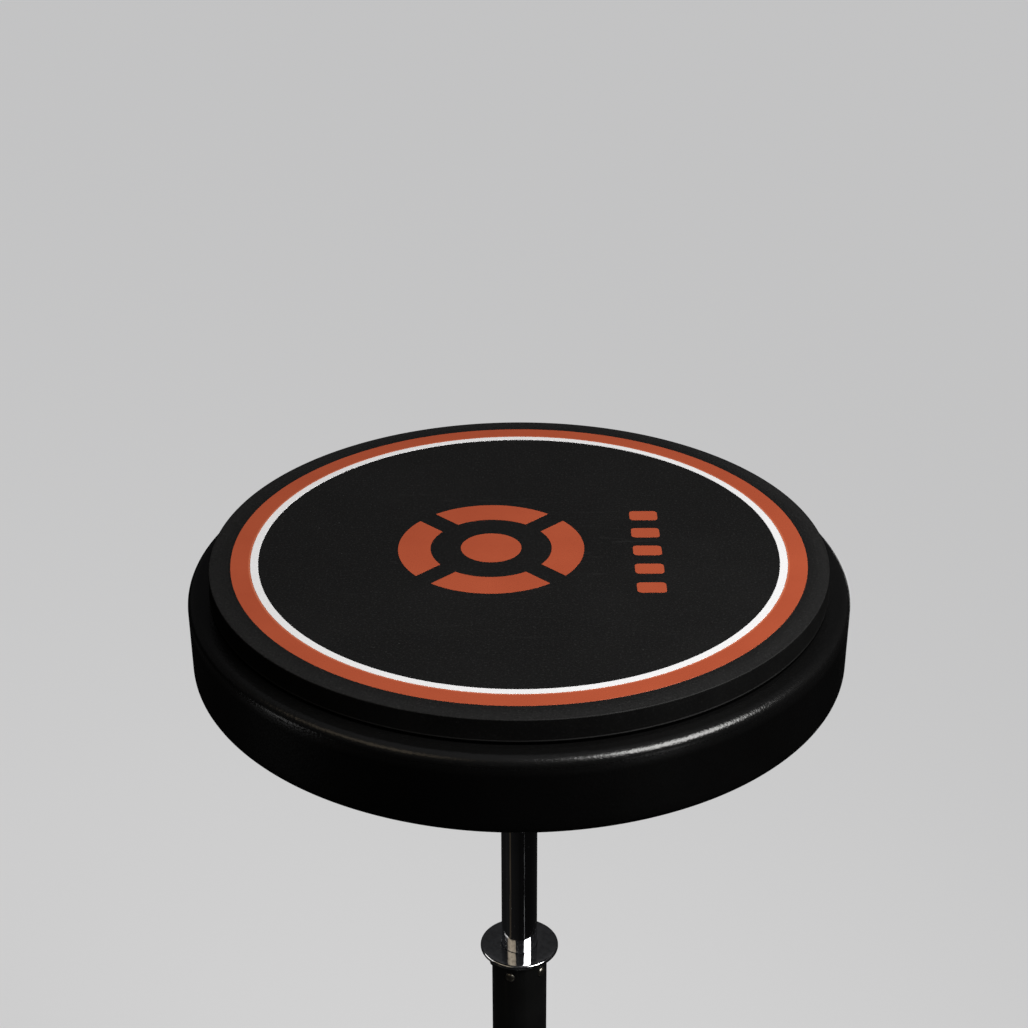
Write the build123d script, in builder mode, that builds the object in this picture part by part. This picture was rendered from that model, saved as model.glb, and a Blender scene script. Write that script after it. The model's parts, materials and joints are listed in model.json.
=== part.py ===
from build123d import *
import math
import os

# Drum practice pad on a height-adjustable folding tripod stand.
#
# Millimetres, +Z up. The origin is on the floor, on the post axis, at the sole
# of the rubber plug that closes the post. The player stands on the -Y side.
# Each piece has a function of its own name that returns its finished builder.

os.makedirs("parts", exist_ok=True)

# ----------------------------------------------------------------------------
# Shared dimensions
# ----------------------------------------------------------------------------
face_z = 430.0  # playing face above the floor
running_gap = 0.03  # radial clearance of plain fits

# M8 thread that carries the pad, M6 thread of the clamping bolt
m8_r, m8_minor_r, m8_pitch = 4.0, 3.4, 1.25
m6_r, m6_minor_r, m6_pitch = 3.0, 2.5, 1.0

# chrome rod and the stud of its expander lock
rod_r = 4.5
rod_top = face_z - 36.0
rod_bottom = 228.0
stud_r = 2.5
stud_top = rod_bottom + 15.0  # inside the rod

# middle tube
mid_r, mid_bore_r = 7.0, 5.8
mid_bottom = 101.0

# lower tube
low_r, low_bore_r = 9.5, 8.2
low_top, low_bottom = 236.0, 10.0

# leg pivots
pivot_r, pivot_z = 24.0, 52.0
pivot_bolt_r = 2.5
leg_azimuths = (90.0, 210.0, 330.0)
leg_slope = 16.8  # degrees below horizontal when open


# ----------------------------------------------------------------------------
# Helpers
# ----------------------------------------------------------------------------
def save(piece, name):
    """Labels a finished piece and writes it as one STEP file."""
    piece.part.label = name
    export_step(piece.part, f"parts/{name}.step")


def turned(profile, plane=Plane.XZ, axis=Axis.Z):
    """A piece made by turning one closed outline, drawn on plane, about axis."""
    with BuildPart() as piece:
        with BuildSketch(plane):
            with BuildLine():
                Polyline(*profile, close=True)
            make_face()
        revolve(axis=axis)
    return piece


def turned_screws(circle_r, count, start_angle, profile):
    """Upright screws on a circle about the post; profile is (radius, height)."""
    with BuildPart() as screws:
        for i in range(count):
            angle = math.radians(start_angle + i * 360 / count)
            centre = (circle_r * math.cos(angle), circle_r * math.sin(angle), 0)
            with BuildSketch(Plane(centre, x_dir=(1, 0, 0), z_dir=(0, -1, 0))):
                with BuildLine():
                    Polyline(*profile, close=True)
                make_face()
            revolve(axis=Axis(centre, (0, 0, 1)))
    return screws


def dome_middle(base_r, height):
    """Middle (r, h) of a round dome's profile: base_r wide, height high."""
    ball_r = (base_r**2 + height**2) / (2 * height)
    half_angle = math.asin(min(1.0, base_r / ball_r)) / 2
    return ball_r * math.sin(half_angle), height - ball_r * (1 - math.cos(half_angle))


def thread_side(z0, z1, major_r, minor_r, pitch):
    """Points (r, z) up the side of a thread drawn as plain rings."""
    runout = 0.3  # plain length at each end
    turns = int((z1 - z0 - 2 * runout) / pitch)
    points = [(minor_r, z0)]
    z = z0 + runout
    for _ in range(turns):
        points += [(minor_r, z), (major_r, z + 0.45 * pitch), (major_r, z + 0.55 * pitch)]
        z += pitch
    points += [(minor_r, z), (minor_r, z1)]
    return points


def radial_plane(azimuth, distance, height, slope=0.0):
    """Upright plane: x outward and down by slope, normal level and tangential."""
    a, s = math.radians(azimuth), math.radians(slope)
    return Plane(
        (distance * math.cos(a), distance * math.sin(a), height),
        x_dir=(math.cos(a) * math.cos(s), math.sin(a) * math.cos(s), -math.sin(s)),
        z_dir=(math.sin(a), -math.cos(a), 0),
    )


def arm_plane(azimuth):
    """Plane through one leg pivot: x outward, y up, normal along the pivot."""
    return radial_plane(azimuth, pivot_r, pivot_z)


def leg_plane(azimuth):
    """Plane through one leg pivot: x down the open leg, normal along the pivot."""
    return radial_plane(azimuth, pivot_r, pivot_z, leg_slope)


# ----------------------------------------------------------------------------
# Pad head
# ----------------------------------------------------------------------------
pad_h = 25.1
face_r, face_t = 71.1, 5.9
body_r = 76.2  # 6 inch body
body_r_low = 76.0  # slight moulding draft
seam_gap = 0.3  # drop from the rubber's underside to the shoulder
shoulder_round, lip_round = 2.2, 3.0
shell_inner_r, shell_top_t = 72.0, 4.1
pocket_r, pocket_t = 64.0, 2.0
board_r = 71.9
mat_outer_r, mat_inner_r, mat_t = 70.0, 24.0, 3.2
plate_r, plate_t = 22.0, 2.0
boss_r, boss_l = 6.5, 12.0

seam_z = face_z - face_t
lip_z = face_z - pad_h
shoulder_z = seam_z - seam_gap
pocket_z = seam_z - pocket_t
shell_ceiling = seam_z - shell_top_t
board_top = shell_ceiling - 0.05
board_bottom = lip_z + plate_t

# screws: radius of their circle, count, first angle, shank radius
plate_screw_circle_r, plate_screw_n, plate_screw_start = 15.5, 4, 45
plate_shank_r = 1.6
core_screw_circle_r, core_screw_n, core_screw_start = 67.0, 3, 30
core_shank_r = 1.5
core_hole_r = core_shank_r + running_gap

# print on the face: two rings, then the target and bars
ink_t = 0.1
white_in, white_out = 59.75, 61.55
orange_out = 66.05
mark_x, mark_y = -6.4, 1.5
mark_ring_out, mark_ring_in, mark_dot = 21.5, 14.0, 7.0
mark_gap = 5.0
bars_x, bars_w, bars_h, bars_n, bars_pitch = 29.6, 6.6, 4.6, 5, 8.7
bars_round = 1.0


def draw_centre_mark():
    """Draws the target and the column of bars into the open sketch."""
    with Locations((mark_x, mark_y)):
        Circle(mark_ring_out)
        Circle(mark_ring_in, mode=Mode.SUBTRACT)
        with PolarLocations(0, 4, start_angle=45):
            Rectangle(2 * mark_ring_out + 2, mark_gap, mode=Mode.SUBTRACT)
        Circle(mark_dot)
    with Locations((bars_x, 0)):
        with GridLocations(1, bars_pitch, 1, bars_n):
            RectangleRounded(bars_w, bars_h, bars_round)


def playing_surface():
    """Rubber playing surface, with shallow pockets that hold the print."""
    with BuildPart() as surface:
        with BuildSketch(Plane.XY.offset(seam_z)):
            Circle(face_r)
        extrude(amount=face_t)
        fillet(surface.edges().sort_by(Axis.Z)[-1], 0.7)
        fillet(surface.edges().sort_by(Axis.Z)[0], 0.3)
        with BuildSketch(Plane.XY.offset(face_z)):
            Circle(orange_out)
            Circle(white_in, mode=Mode.SUBTRACT)
            draw_centre_mark()
        extrude(amount=-ink_t, mode=Mode.SUBTRACT)
    return surface


def ink_ring(outer_r, inner_r):
    """One printed ring, flush with the face."""
    with BuildPart() as ring:
        with BuildSketch(Plane.XY.offset(face_z)):
            Circle(outer_r)
            Circle(inner_r, mode=Mode.SUBTRACT)
        extrude(amount=-ink_t)
    return ring


def ink_ring_white():
    return ink_ring(white_out, white_in)


def ink_ring_orange():
    return ink_ring(orange_out, white_out)


def ink_centre_mark():
    """Plain target and tempo bars at the middle of the face."""
    with BuildPart() as mark:
        with BuildSketch(Plane.XY.offset(face_z)):
            draw_centre_mark()
        extrude(amount=-ink_t)
    return mark


def damping_layer():
    """Foam disc between the rubber and the shell."""
    with BuildPart() as foam:
        with BuildSketch(Plane.XY.offset(pocket_z)):
            Circle(pocket_r - 0.2)
        extrude(amount=pocket_t - 0.05)
    return foam


def body_shell():
    """Moulded shell: top plate, rounded shoulder, drafted side, rounded lip."""
    recess_r = face_r - 0.5
    shoulder_start = (body_r - shoulder_round, shoulder_z)
    shoulder_end = (body_r, shoulder_z - shoulder_round)
    lip_start = (body_r_low, lip_z + lip_round)
    lip_end = (body_r_low - lip_round, lip_z)
    with BuildPart() as shell:
        with BuildSketch(Plane.XZ):
            with BuildLine():
                Polyline(
                    (0, shell_ceiling),
                    (0, pocket_z),
                    (pocket_r, pocket_z),
                    (pocket_r, seam_z),
                    (recess_r, seam_z),
                    (recess_r, shoulder_z),
                    shoulder_start,
                )
                RadiusArc(shoulder_start, shoulder_end, shoulder_round)
                Line(shoulder_end, lip_start)
                RadiusArc(lip_start, lip_end, lip_round)
                Polyline(
                    lip_end,
                    (shell_inner_r, lip_z),
                    (shell_inner_r, shell_ceiling),
                    (0, shell_ceiling),
                )
            make_face()
        revolve(axis=Axis.Z)
        with Locations(Plane.XY.offset(shell_ceiling)):
            with PolarLocations(
                core_screw_circle_r, core_screw_n, start_angle=core_screw_start
            ):
                Cylinder(
                    core_hole_r,
                    3.1,
                    align=(Align.CENTER, Align.CENTER, Align.MIN),
                    mode=Mode.SUBTRACT,
                )
    return shell


def core_board():
    """Wooden core board with a central bore for the threaded boss."""
    head_pocket_r, head_pocket_depth = 3.5, 2.6
    pilot_depth = 10.3
    with BuildPart() as board:
        with BuildSketch(Plane.XY.offset(board_bottom)):
            Circle(board_r)
            Circle(boss_r + 0.1, mode=Mode.SUBTRACT)
            with PolarLocations(
                core_screw_circle_r, core_screw_n, start_angle=core_screw_start
            ):
                Circle(core_hole_r, mode=Mode.SUBTRACT)
        extrude(amount=board_top - board_bottom)
        with BuildSketch(Plane.XY.offset(board_bottom)):
            with PolarLocations(
                core_screw_circle_r, core_screw_n, start_angle=core_screw_start
            ):
                Circle(head_pocket_r)
        extrude(amount=head_pocket_depth, mode=Mode.SUBTRACT)
        with BuildSketch(Plane.XY.offset(board_bottom)):
            with PolarLocations(
                plate_screw_circle_r, plate_screw_n, start_angle=plate_screw_start
            ):
                Circle(plate_shank_r + running_gap)
        extrude(amount=pilot_depth, mode=Mode.SUBTRACT)
    return board


def mount_plate():
    """Steel plate with its M8 boss."""
    with BuildPart() as plate:
        with BuildSketch(Plane.XY.offset(lip_z)):
            Circle(plate_r)
        extrude(amount=plate_t)
        fillet(plate.edges().sort_by(Axis.Z)[0], 0.6)
        with BuildSketch(Plane.XY.offset(lip_z + plate_t)):
            Circle(boss_r)
        extrude(amount=boss_l)
        chamfer(plate.edges().sort_by(Axis.Z)[-1], 0.6)
        with BuildSketch(Plane.XY.offset(lip_z)):
            Circle(m8_r + running_gap)
        extrude(amount=plate_t + boss_l, mode=Mode.SUBTRACT)
        # the plane is turned over so the countersinks open downward
        with Locations(Plane.XY.offset(lip_z).rotated((180, 0, 0))):
            with PolarLocations(
                plate_screw_circle_r, plate_screw_n, start_angle=plate_screw_start
            ):
                CounterSinkHole(
                    radius=1.8,
                    counter_sink_radius=3.4,
                    depth=plate_t,
                    counter_sink_angle=90,
                )
    return plate


def plate_screws():
    """Four countersunk screws that hold the plate."""
    profile = [  # (radius, height), from the drive recess up to the tip
        (0, lip_z + 0.75),
        (0.9, lip_z + 0.75),
        (0.9, lip_z + 0.05),
        (3.3, lip_z + 0.05),
        (plate_shank_r, lip_z + 1.75),
        (plate_shank_r, board_bottom + 8.2),
        (0.3, board_bottom + 10.2),
        (0, board_bottom + 10.2),
    ]
    return turned_screws(plate_screw_circle_r, plate_screw_n, plate_screw_start, profile)


def core_screws():
    """Three pan-head screws that pull the board up into the shell."""
    profile = [  # (radius, height), from the drive recess up to the tip
        (0, board_bottom + 0.9),
        (0.8, board_bottom + 0.9),
        (0.8, board_bottom + 0.2),
        (2.6, board_bottom + 0.2),
        (3.2, board_bottom + 0.9),
        (3.2, board_bottom + 2.5),
        (core_shank_r, board_bottom + 2.5),
        (core_shank_r, shell_ceiling + 1.6),
        (0.3, shell_ceiling + 2.9),
        (0, shell_ceiling + 2.9),
    ]
    return turned_screws(core_screw_circle_r, core_screw_n, core_screw_start, profile)


def base_mat():
    """Non-slip rubber mat under the pad."""
    with BuildPart() as mat:
        with BuildSketch(Plane.XY.offset(board_bottom - mat_t)):
            Circle(mat_outer_r)
            Circle(mat_inner_r, mode=Mode.SUBTRACT)
        extrude(amount=mat_t)
        fillet(mat.edges().group_by(Axis.Z)[0], 0.8)
    return mat


# ----------------------------------------------------------------------------
# Lock nut and washer under the pad
# ----------------------------------------------------------------------------
washer_r, washer_t = 8.5, 1.6
nut_r, nut_h = 9.0, 7.4
nut_top = lip_z - washer_t
nut_bottom = nut_top - nut_h


def lock_washer():
    with BuildPart() as washer:
        with BuildSketch(Plane.XY.offset(lip_z - washer_t)):
            Circle(washer_r)
            Circle(m8_r + 0.2, mode=Mode.SUBTRACT)
        extrude(amount=washer_t)
        chamfer(washer.edges().group_by(Axis.Z)[0].sort_by(SortBy.RADIUS)[-1], 0.3)
    return washer


def lock_nut():
    """Round nut with upright grip flutes below a narrower neck."""
    neck_r = nut_r - 0.8
    flute_n, flute_r = 24, 0.75
    with BuildPart() as nut:
        with BuildSketch(Plane.XZ):
            with BuildLine():
                Polyline(
                    (m8_r + running_gap, nut_bottom),
                    (nut_r - 1.0, nut_bottom),
                    (nut_r, nut_bottom + 1.0),
                    (nut_r, nut_top - 2.2),
                    (neck_r, nut_top - 1.4),
                    (neck_r, nut_top),
                    (m8_r + running_gap, nut_top),
                    close=True,
                )
            make_face()
        revolve(axis=Axis.Z)
        with BuildSketch(Plane.XY.offset(nut_bottom - 0.5)):
            with PolarLocations(nut_r + 0.25, flute_n):
                Circle(flute_r)
        extrude(amount=nut_h - 1.3, mode=Mode.SUBTRACT)
    return nut


# ----------------------------------------------------------------------------
# Chrome rod with its expander lock
# ----------------------------------------------------------------------------
stud_bottom = 198.0
groove_bottom, groove_top = 200.0, 201.0  # holds the clip
groove_r = stud_r - 0.5
sleeve_bottom, sleeve_top = 203.0, rod_bottom - 0.5
sleeve_r = 5.7
cone_bottom, cone_top = 203.6, 218.6


def top_rod():
    """Plain rod, bored below for the stud and threaded M8 above."""
    thread_end = face_z - 12.0
    tip = 0.6  # chamfer at the thread's end and at the rod's shoulder
    return turned([  # (radius, height)
        (0, stud_top),
        (stud_r, stud_top),
        (stud_r, rod_bottom),
        (rod_r - 0.5, rod_bottom),
        (rod_r, rod_bottom + 0.5),
        (rod_r, rod_top - tip),
        (rod_r - tip, rod_top),
        *thread_side(rod_top, thread_end - tip, m8_r, m8_minor_r, m8_pitch),
        (m8_minor_r - tip, thread_end),
        (0, thread_end),
    ])


def expander_stud():
    """Stud fixed in the rod, with a groove for the clip."""
    return turned([  # (radius, height)
        (0, stud_bottom),
        (stud_r - 0.4, stud_bottom),
        (stud_r, stud_bottom + 0.4),
        (stud_r, groove_bottom),
        (groove_r, groove_bottom),
        (groove_r, groove_top),
        (stud_r, groove_top),
        (stud_r, stud_top),
        (0, stud_top),
    ])


def expander_clip():
    """Open clip in the stud's groove; the opening faces +X."""
    clip_r, clip_t = 4.6, 0.9
    with BuildPart() as clip:
        with BuildSketch(Plane.XY.offset(groove_bottom + 0.05)):
            Circle(clip_r)
            Circle(groove_r + 0.02, mode=Mode.SUBTRACT)
            with Locations((3.0, 0)):
                Rectangle(4.5, 3.4, mode=Mode.SUBTRACT)
        extrude(amount=clip_t)
    return clip


def expander_sleeve():
    """Split nylon sleeve that grips the inside of the middle tube."""
    bore_r = stud_r + 0.05
    slit_w, slit_l = 1.3, 14
    with BuildPart() as sleeve:
        with BuildSketch(Plane.XZ):
            with BuildLine():
                Polyline(
                    (sleeve_r - 0.5, sleeve_bottom),
                    (sleeve_r, sleeve_bottom + 0.8),
                    (sleeve_r, sleeve_top - 0.8),
                    (sleeve_r - 0.5, sleeve_top),
                    (bore_r, sleeve_top),
                    (bore_r, 220.5),
                    (3.2, 219.5),
                    (5.05, sleeve_bottom),
                    close=True,
                )
            make_face()
        revolve(axis=Axis.Z)
        # crossed slits, open at the bottom
        with BuildSketch(Plane.XY.offset(sleeve_bottom - 0.5)):
            Rectangle(slit_l, slit_w)
            Rectangle(slit_w, slit_l)
        extrude(amount=17.0, mode=Mode.SUBTRACT)
    return sleeve


def expander_cone():
    """Cone on the stud, inside the sleeve and wider below."""
    return turned([  # (radius, height)
        (stud_r + running_gap, cone_bottom),
        (4.85, cone_bottom),
        (3.0, cone_top),
        (stud_r + running_gap, cone_top),
    ])


# ----------------------------------------------------------------------------
# Middle tube with its flanged bush
# ----------------------------------------------------------------------------
bush_top = face_z - 113.6
flange_r, flange_t, flange_edge = 9.9, 1.15, 0.45
flange_under = bush_top - flange_t
spigot_bottom = flange_under - 12.0

pin_z = face_z - 119.6
pin_r, pin_dome, pin_count = 1.25, 0.65, 5
pin_hole_r = pin_r + 0.02
pin_inner, pin_seat = 5.2, 6.95  # distances from the post axis
pin_angles = [-110.0 + 360.0 / pin_count * i for i in range(pin_count)]


def pin_plane(angle):
    """Plane whose normal points outward along one retaining pin."""
    a = math.radians(angle)
    return Plane((0, 0, pin_z), x_dir=(0, 0, 1), z_dir=(math.cos(a), math.sin(a), 0))


def mid_tube():
    with BuildPart() as tube:
        with BuildSketch(Plane.XY.offset(mid_bottom)):
            Circle(mid_r)
            Circle(mid_bore_r, mode=Mode.SUBTRACT)
        extrude(amount=flange_under - mid_bottom)
        for angle in pin_angles:
            with BuildSketch(pin_plane(angle).offset(4.0)):
                Circle(pin_hole_r)
            extrude(amount=5.0, mode=Mode.SUBTRACT)
    return tube


def flange_bush():
    """Bush that guides the rod: spigot in the tube, round-edged flange on it."""
    bore_r = rod_r + 0.05
    inner_edge_r = flange_r - flange_edge
    lower_edge_z, upper_edge_z = flange_under + flange_edge, bush_top - flange_edge
    with BuildPart() as bush:
        with BuildSketch(Plane.XZ):
            with BuildLine():
                Polyline(
                    (bore_r, spigot_bottom),
                    (mid_bore_r - 0.4, spigot_bottom),
                    (mid_bore_r, spigot_bottom + 0.4),
                    (mid_bore_r, flange_under),
                    (inner_edge_r, flange_under),
                )
                RadiusArc(
                    (inner_edge_r, flange_under), (flange_r, lower_edge_z), -flange_edge
                )
                Line((flange_r, lower_edge_z), (flange_r, upper_edge_z))
                RadiusArc(
                    (flange_r, upper_edge_z), (inner_edge_r, bush_top), -flange_edge
                )
                Polyline(
                    (inner_edge_r, bush_top),
                    (bore_r + 0.4, bush_top),
                    (bore_r, bush_top - 0.4),
                    (bore_r, spigot_bottom),
                )
            make_face()
        revolve(axis=Axis.Z)
        for angle in pin_angles:
            with BuildSketch(pin_plane(angle).offset(pin_inner - 0.1)):
                Circle(pin_hole_r)
            extrude(amount=2.0, mode=Mode.SUBTRACT)
    return bush


def bush_pins():
    """Five domed pins that hold the bush in the tube."""
    dome_r, dome_h = dome_middle(pin_r, pin_dome)
    with BuildPart() as pins:
        for angle in pin_angles:
            plane = radial_plane(angle, 0, pin_z)
            with BuildSketch(plane):
                with BuildLine():
                    Line((pin_inner, 0), (pin_seat + pin_dome, 0))
                    ThreePointArc(
                        (pin_seat + pin_dome, 0),
                        (pin_seat + dome_h, dome_r),
                        (pin_seat, pin_r),
                    )
                    Polyline((pin_seat, pin_r), (pin_inner, pin_r), (pin_inner, 0))
                make_face()
            revolve(axis=Axis(plane.origin, plane.x_dir))
    return pins


def mid_guide_ring():
    """Nylon ring that guides the bottom of the middle tube."""
    ring_r = 8.12
    tube_fit_r = mid_r + 0.02
    return turned([  # (radius, height)
        (5.9, mid_bottom - 6.0),
        (7.7, mid_bottom - 6.0),
        (ring_r, mid_bottom - 5.4),
        (ring_r, mid_bottom + 10.4),
        (7.8, mid_bottom + 11.0),
        (tube_fit_r, mid_bottom + 11.0),
        (tube_fit_r, mid_bottom - 0.02),
        (5.9, mid_bottom - 0.02),
    ])


# ----------------------------------------------------------------------------
# Lower tube, end plug and clamp
# ----------------------------------------------------------------------------
collar_r, collar_bottom, collar_top = 15.5, 206.0, 242.0
collar_round = 4.0
bushing_bottom = 204.0

# rivet on the +Y side
rivet_z, rivet_r, rivet_head_r, rivet_dome = 214.0, 1.6, 2.6, 1.4
rivet_hole_r = rivet_r + 0.02
rivet_inner, rivet_seat = 8.3, 14.9  # distances from the post axis

# clamp on the -Y side; distances are from the post axis
clamp_z = 221.0
clamp_axis = Axis((0, 0, clamp_z), (0, 1, 0))
clamp_boss_r, clamp_boss_end = 8.0, 26.0
shoe_r, shoe_start, shoe_end = 4.05, 4.5, 12.05
shoe_hole_r = shoe_r + 0.1
bolt_tip = 12.1
knob_start, bolt_end = 29.2, 38.0


def lower_tube():
    with BuildPart() as tube:
        with BuildSketch(Plane.XY.offset(low_bottom)):
            Circle(low_r)
            Circle(low_bore_r, mode=Mode.SUBTRACT)
        extrude(amount=low_top - low_bottom)
        with BuildSketch(Plane.XZ.offset(6.0)):
            with Locations((0, clamp_z)):
                Circle(shoe_hole_r)
        extrude(amount=6.0, mode=Mode.SUBTRACT)
        with BuildSketch(Plane.XZ.offset(-6.0)):
            with Locations((0, rivet_z)):
                Circle(rivet_hole_r)
        extrude(amount=-6.0, mode=Mode.SUBTRACT)
    return tube


def post_end_plug():
    """Rubber plug in the bottom of the post, with two grooves round its foot."""
    plug_r, plug_top = 10.6, 24.0
    spigot_r = 8.1
    with BuildPart() as plug:
        with BuildSketch(Plane.XZ):
            with BuildLine():
                Polyline(
                    (0, 0),
                    (plug_r - 1.2, 0),
                    (plug_r, 1.2),
                    (plug_r, low_bottom),
                    (spigot_r, low_bottom),
                    (spigot_r, plug_top - 0.8),
                    (spigot_r - 0.8, plug_top),
                    (0, plug_top),
                    close=True,
                )
            make_face()
        revolve(axis=Axis.Z)
        with BuildSketch(Plane.XZ):
            with Locations((plug_r + 0.15, 4.5), (plug_r + 0.15, 7.0)):
                Circle(0.5)
        revolve(axis=Axis.Z, mode=Mode.SUBTRACT)
    return plug


def clamp_collar():
    """Sleeve over the tube with a boss for the clamping bolt."""
    groove_centre_r, groove_r = collar_r + 0.2, 0.7
    round_start = (collar_r, collar_top - collar_round)
    round_end = (collar_r - collar_round, collar_top)
    with BuildPart() as collar:
        with BuildSketch(Plane.XZ):
            with BuildLine():
                Polyline(
                    (0, collar_bottom),
                    (collar_r - 3.0, collar_bottom),
                    (collar_r, collar_bottom + 6.0),
                    round_start,
                )
                RadiusArc(round_start, round_end, -collar_round)
                Polyline(round_end, (0, collar_top), (0, collar_bottom))
            make_face()
        revolve(axis=Axis.Z)
        with BuildSketch(Plane.XZ):
            with Locations((0, clamp_z)):
                Circle(clamp_boss_r)
        extrude(amount=clamp_boss_end)
        fillet(collar.edges().sort_by(Axis.Y)[0], 1.0)
        # the only free-form edge is where the boss meets the collar
        fillet(
            collar.edges().filter_by(
                lambda e: e.geom_type not in (GeomType.LINE, GeomType.CIRCLE)
            ),
            2.0,
        )
        with BuildSketch(Plane.XZ):
            with Locations((groove_centre_r, 231.6), (groove_centre_r, 234.6)):
                Circle(groove_r)
        revolve(axis=Axis.Z, mode=Mode.SUBTRACT)
        # bores for the lower tube and, above it, the middle tube
        with BuildSketch(Plane.XY.offset(collar_bottom)):
            Circle(low_r + 0.05)
        extrude(amount=low_top - collar_bottom, mode=Mode.SUBTRACT)
        with BuildSketch(Plane.XY.offset(low_top)):
            Circle(mid_r + 0.25)
        extrude(amount=collar_top - low_top, mode=Mode.SUBTRACT)
        # bolt hole and shoe pocket
        with BuildSketch(Plane.XZ):
            with Locations((0, clamp_z)):
                Circle(m6_r + running_gap)
        extrude(amount=clamp_boss_end, mode=Mode.SUBTRACT)
        with BuildSketch(Plane.XZ):
            with Locations((0, clamp_z)):
                Circle(shoe_hole_r)
        extrude(amount=13.4, mode=Mode.SUBTRACT)
        # rivet hole and the flat seat of its head
        with BuildSketch(Plane.XZ):
            with Locations((0, rivet_z)):
                Circle(rivet_hole_r)
        extrude(amount=-20.0, mode=Mode.SUBTRACT)
        with BuildSketch(Plane.XZ.offset(-rivet_seat)):
            with Locations((0, rivet_z)):
                Circle(rivet_head_r + 0.3)
        extrude(amount=-5.0, mode=Mode.SUBTRACT)
    return collar


def collar_rivet():
    """Rivet that fixes the collar to the lower tube."""
    dome_r, dome_h = dome_middle(rivet_head_r, rivet_dome)
    with BuildPart() as rivet:
        with BuildSketch(Plane.YZ):
            with BuildLine():
                Line((rivet_inner, rivet_z), (rivet_seat + rivet_dome, rivet_z))
                ThreePointArc(
                    (rivet_seat + rivet_dome, rivet_z),
                    (rivet_seat + dome_h, rivet_z + dome_r),
                    (rivet_seat, rivet_z + rivet_head_r),
                )
                Polyline(
                    (rivet_seat, rivet_z + rivet_head_r),
                    (rivet_seat, rivet_z + rivet_r),
                    (rivet_inner, rivet_z + rivet_r),
                    (rivet_inner, rivet_z),
                )
            make_face()
        revolve(axis=Axis((0, 0, rivet_z), (0, 1, 0)))
    return rivet


def tube_bushing():
    """Nylon bushing between the two tubes."""
    with BuildPart() as bushing:
        with BuildSketch(Plane.XY.offset(bushing_bottom)):
            Circle(low_bore_r - 0.02)
            Circle(mid_r + 0.05, mode=Mode.SUBTRACT)
        extrude(amount=low_top - bushing_bottom)
        with BuildSketch(Plane.XZ.offset(5.0)):
            with Locations((0, clamp_z)):
                Circle(shoe_hole_r + 0.05)
        extrude(amount=5.0, mode=Mode.SUBTRACT)
        with BuildSketch(Plane.XZ.offset(-5.0)):
            with Locations((0, rivet_z)):
                Circle(rivet_r + 0.3)
        extrude(amount=-5.0, mode=Mode.SUBTRACT)
    return bushing


def clamp_shoe():
    """Shoe that presses on the middle tube and does not turn with the bolt."""
    with BuildPart() as shoe:
        with BuildSketch(Plane.XZ.offset(shoe_start)):
            with Locations((0, clamp_z)):
                Circle(shoe_r)
        extrude(amount=shoe_end - shoe_start)
        with BuildSketch(Plane.XY.offset(clamp_z - 6)):
            Circle(mid_r + 0.05)
        extrude(amount=12.0, mode=Mode.SUBTRACT)
    return shoe


def clamp_bolt():
    """M6 bolt: threaded up to the knob, plain inside it."""
    thread = thread_side(bolt_tip + 0.7, knob_start, m6_r, m6_minor_r, m6_pitch)
    profile = [  # (radius, Y)
        (0, -bolt_tip),
        (m6_minor_r - 0.6, -bolt_tip),
        (m6_minor_r, -bolt_tip - 0.6),
        *[(r, -distance) for r, distance in thread],
        (m6_r, -knob_start),
        (m6_r, -bolt_end),
        (0, -bolt_end),
    ]
    return turned(profile, Plane.XY.offset(clamp_z), clamp_axis)


def wing_knob():
    """Wing knob: two rounded ears first, then the hub that joins them."""
    ear_t = 3.8
    tip_x, tip_y, tip_r = 16.5, -40.0, 4.4
    root_x, root_y, root_r = 5.0, -35.0, 4.0
    hub_end_r, crown_h = 6.0, 4.0
    crown_y = -bolt_end - crown_h
    dome_r, dome_h = dome_middle(hub_end_r, crown_h)
    with BuildPart() as knob:
        for side in (-1, 1):
            with BuildSketch(Plane.XY.offset(clamp_z - ear_t / 2)):
                with Locations((side * tip_x, tip_y)):
                    Circle(tip_r)
                with Locations((side * root_x, root_y)):
                    Circle(root_r)
                make_hull()
            extrude(amount=ear_t)
        fillet(knob.faces().filter_by(Axis.Z).edges(), 1.3)
        with BuildSketch(Plane.XY.offset(clamp_z)):
            with BuildLine():
                Polyline(
                    (0, -knob_start),
                    (5.4, -knob_start),
                    (6.4, -knob_start - 1.0),
                    (hub_end_r, -bolt_end),
                )
                ThreePointArc(
                    (hub_end_r, -bolt_end), (dome_r, -bolt_end - dome_h), (0, crown_y)
                )
                Line((0, crown_y), (0, -knob_start))
            make_face()
        revolve(axis=clamp_axis)
        with BuildSketch(
            Plane(origin=(0, -knob_start, clamp_z), x_dir=(1, 0, 0), z_dir=(0, -1, 0))
        ):
            Circle(m6_r)
        extrude(amount=bolt_end - knob_start, mode=Mode.SUBTRACT)
    return knob


# ----------------------------------------------------------------------------
# Leg hub
# ----------------------------------------------------------------------------
hub_r, hub_bottom, hub_top = 15.0, 36.0, 72.0
hub_round = 4.0
slot_half, ear_half = 4.1, 8.6  # half widths along the pivot
set_screw_r, set_screw_l = 2.5, 4.6

# pivot hardware, stacked along the pivot from the arm's middle plane
pivot_washer_t = 0.8
pivot_seat = ear_half + pivot_washer_t
pivot_nut_t, nut_collar_t = 4.0, 1.2
nut_face = pivot_seat + pivot_nut_t
nut_end = nut_face + nut_collar_t


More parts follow.
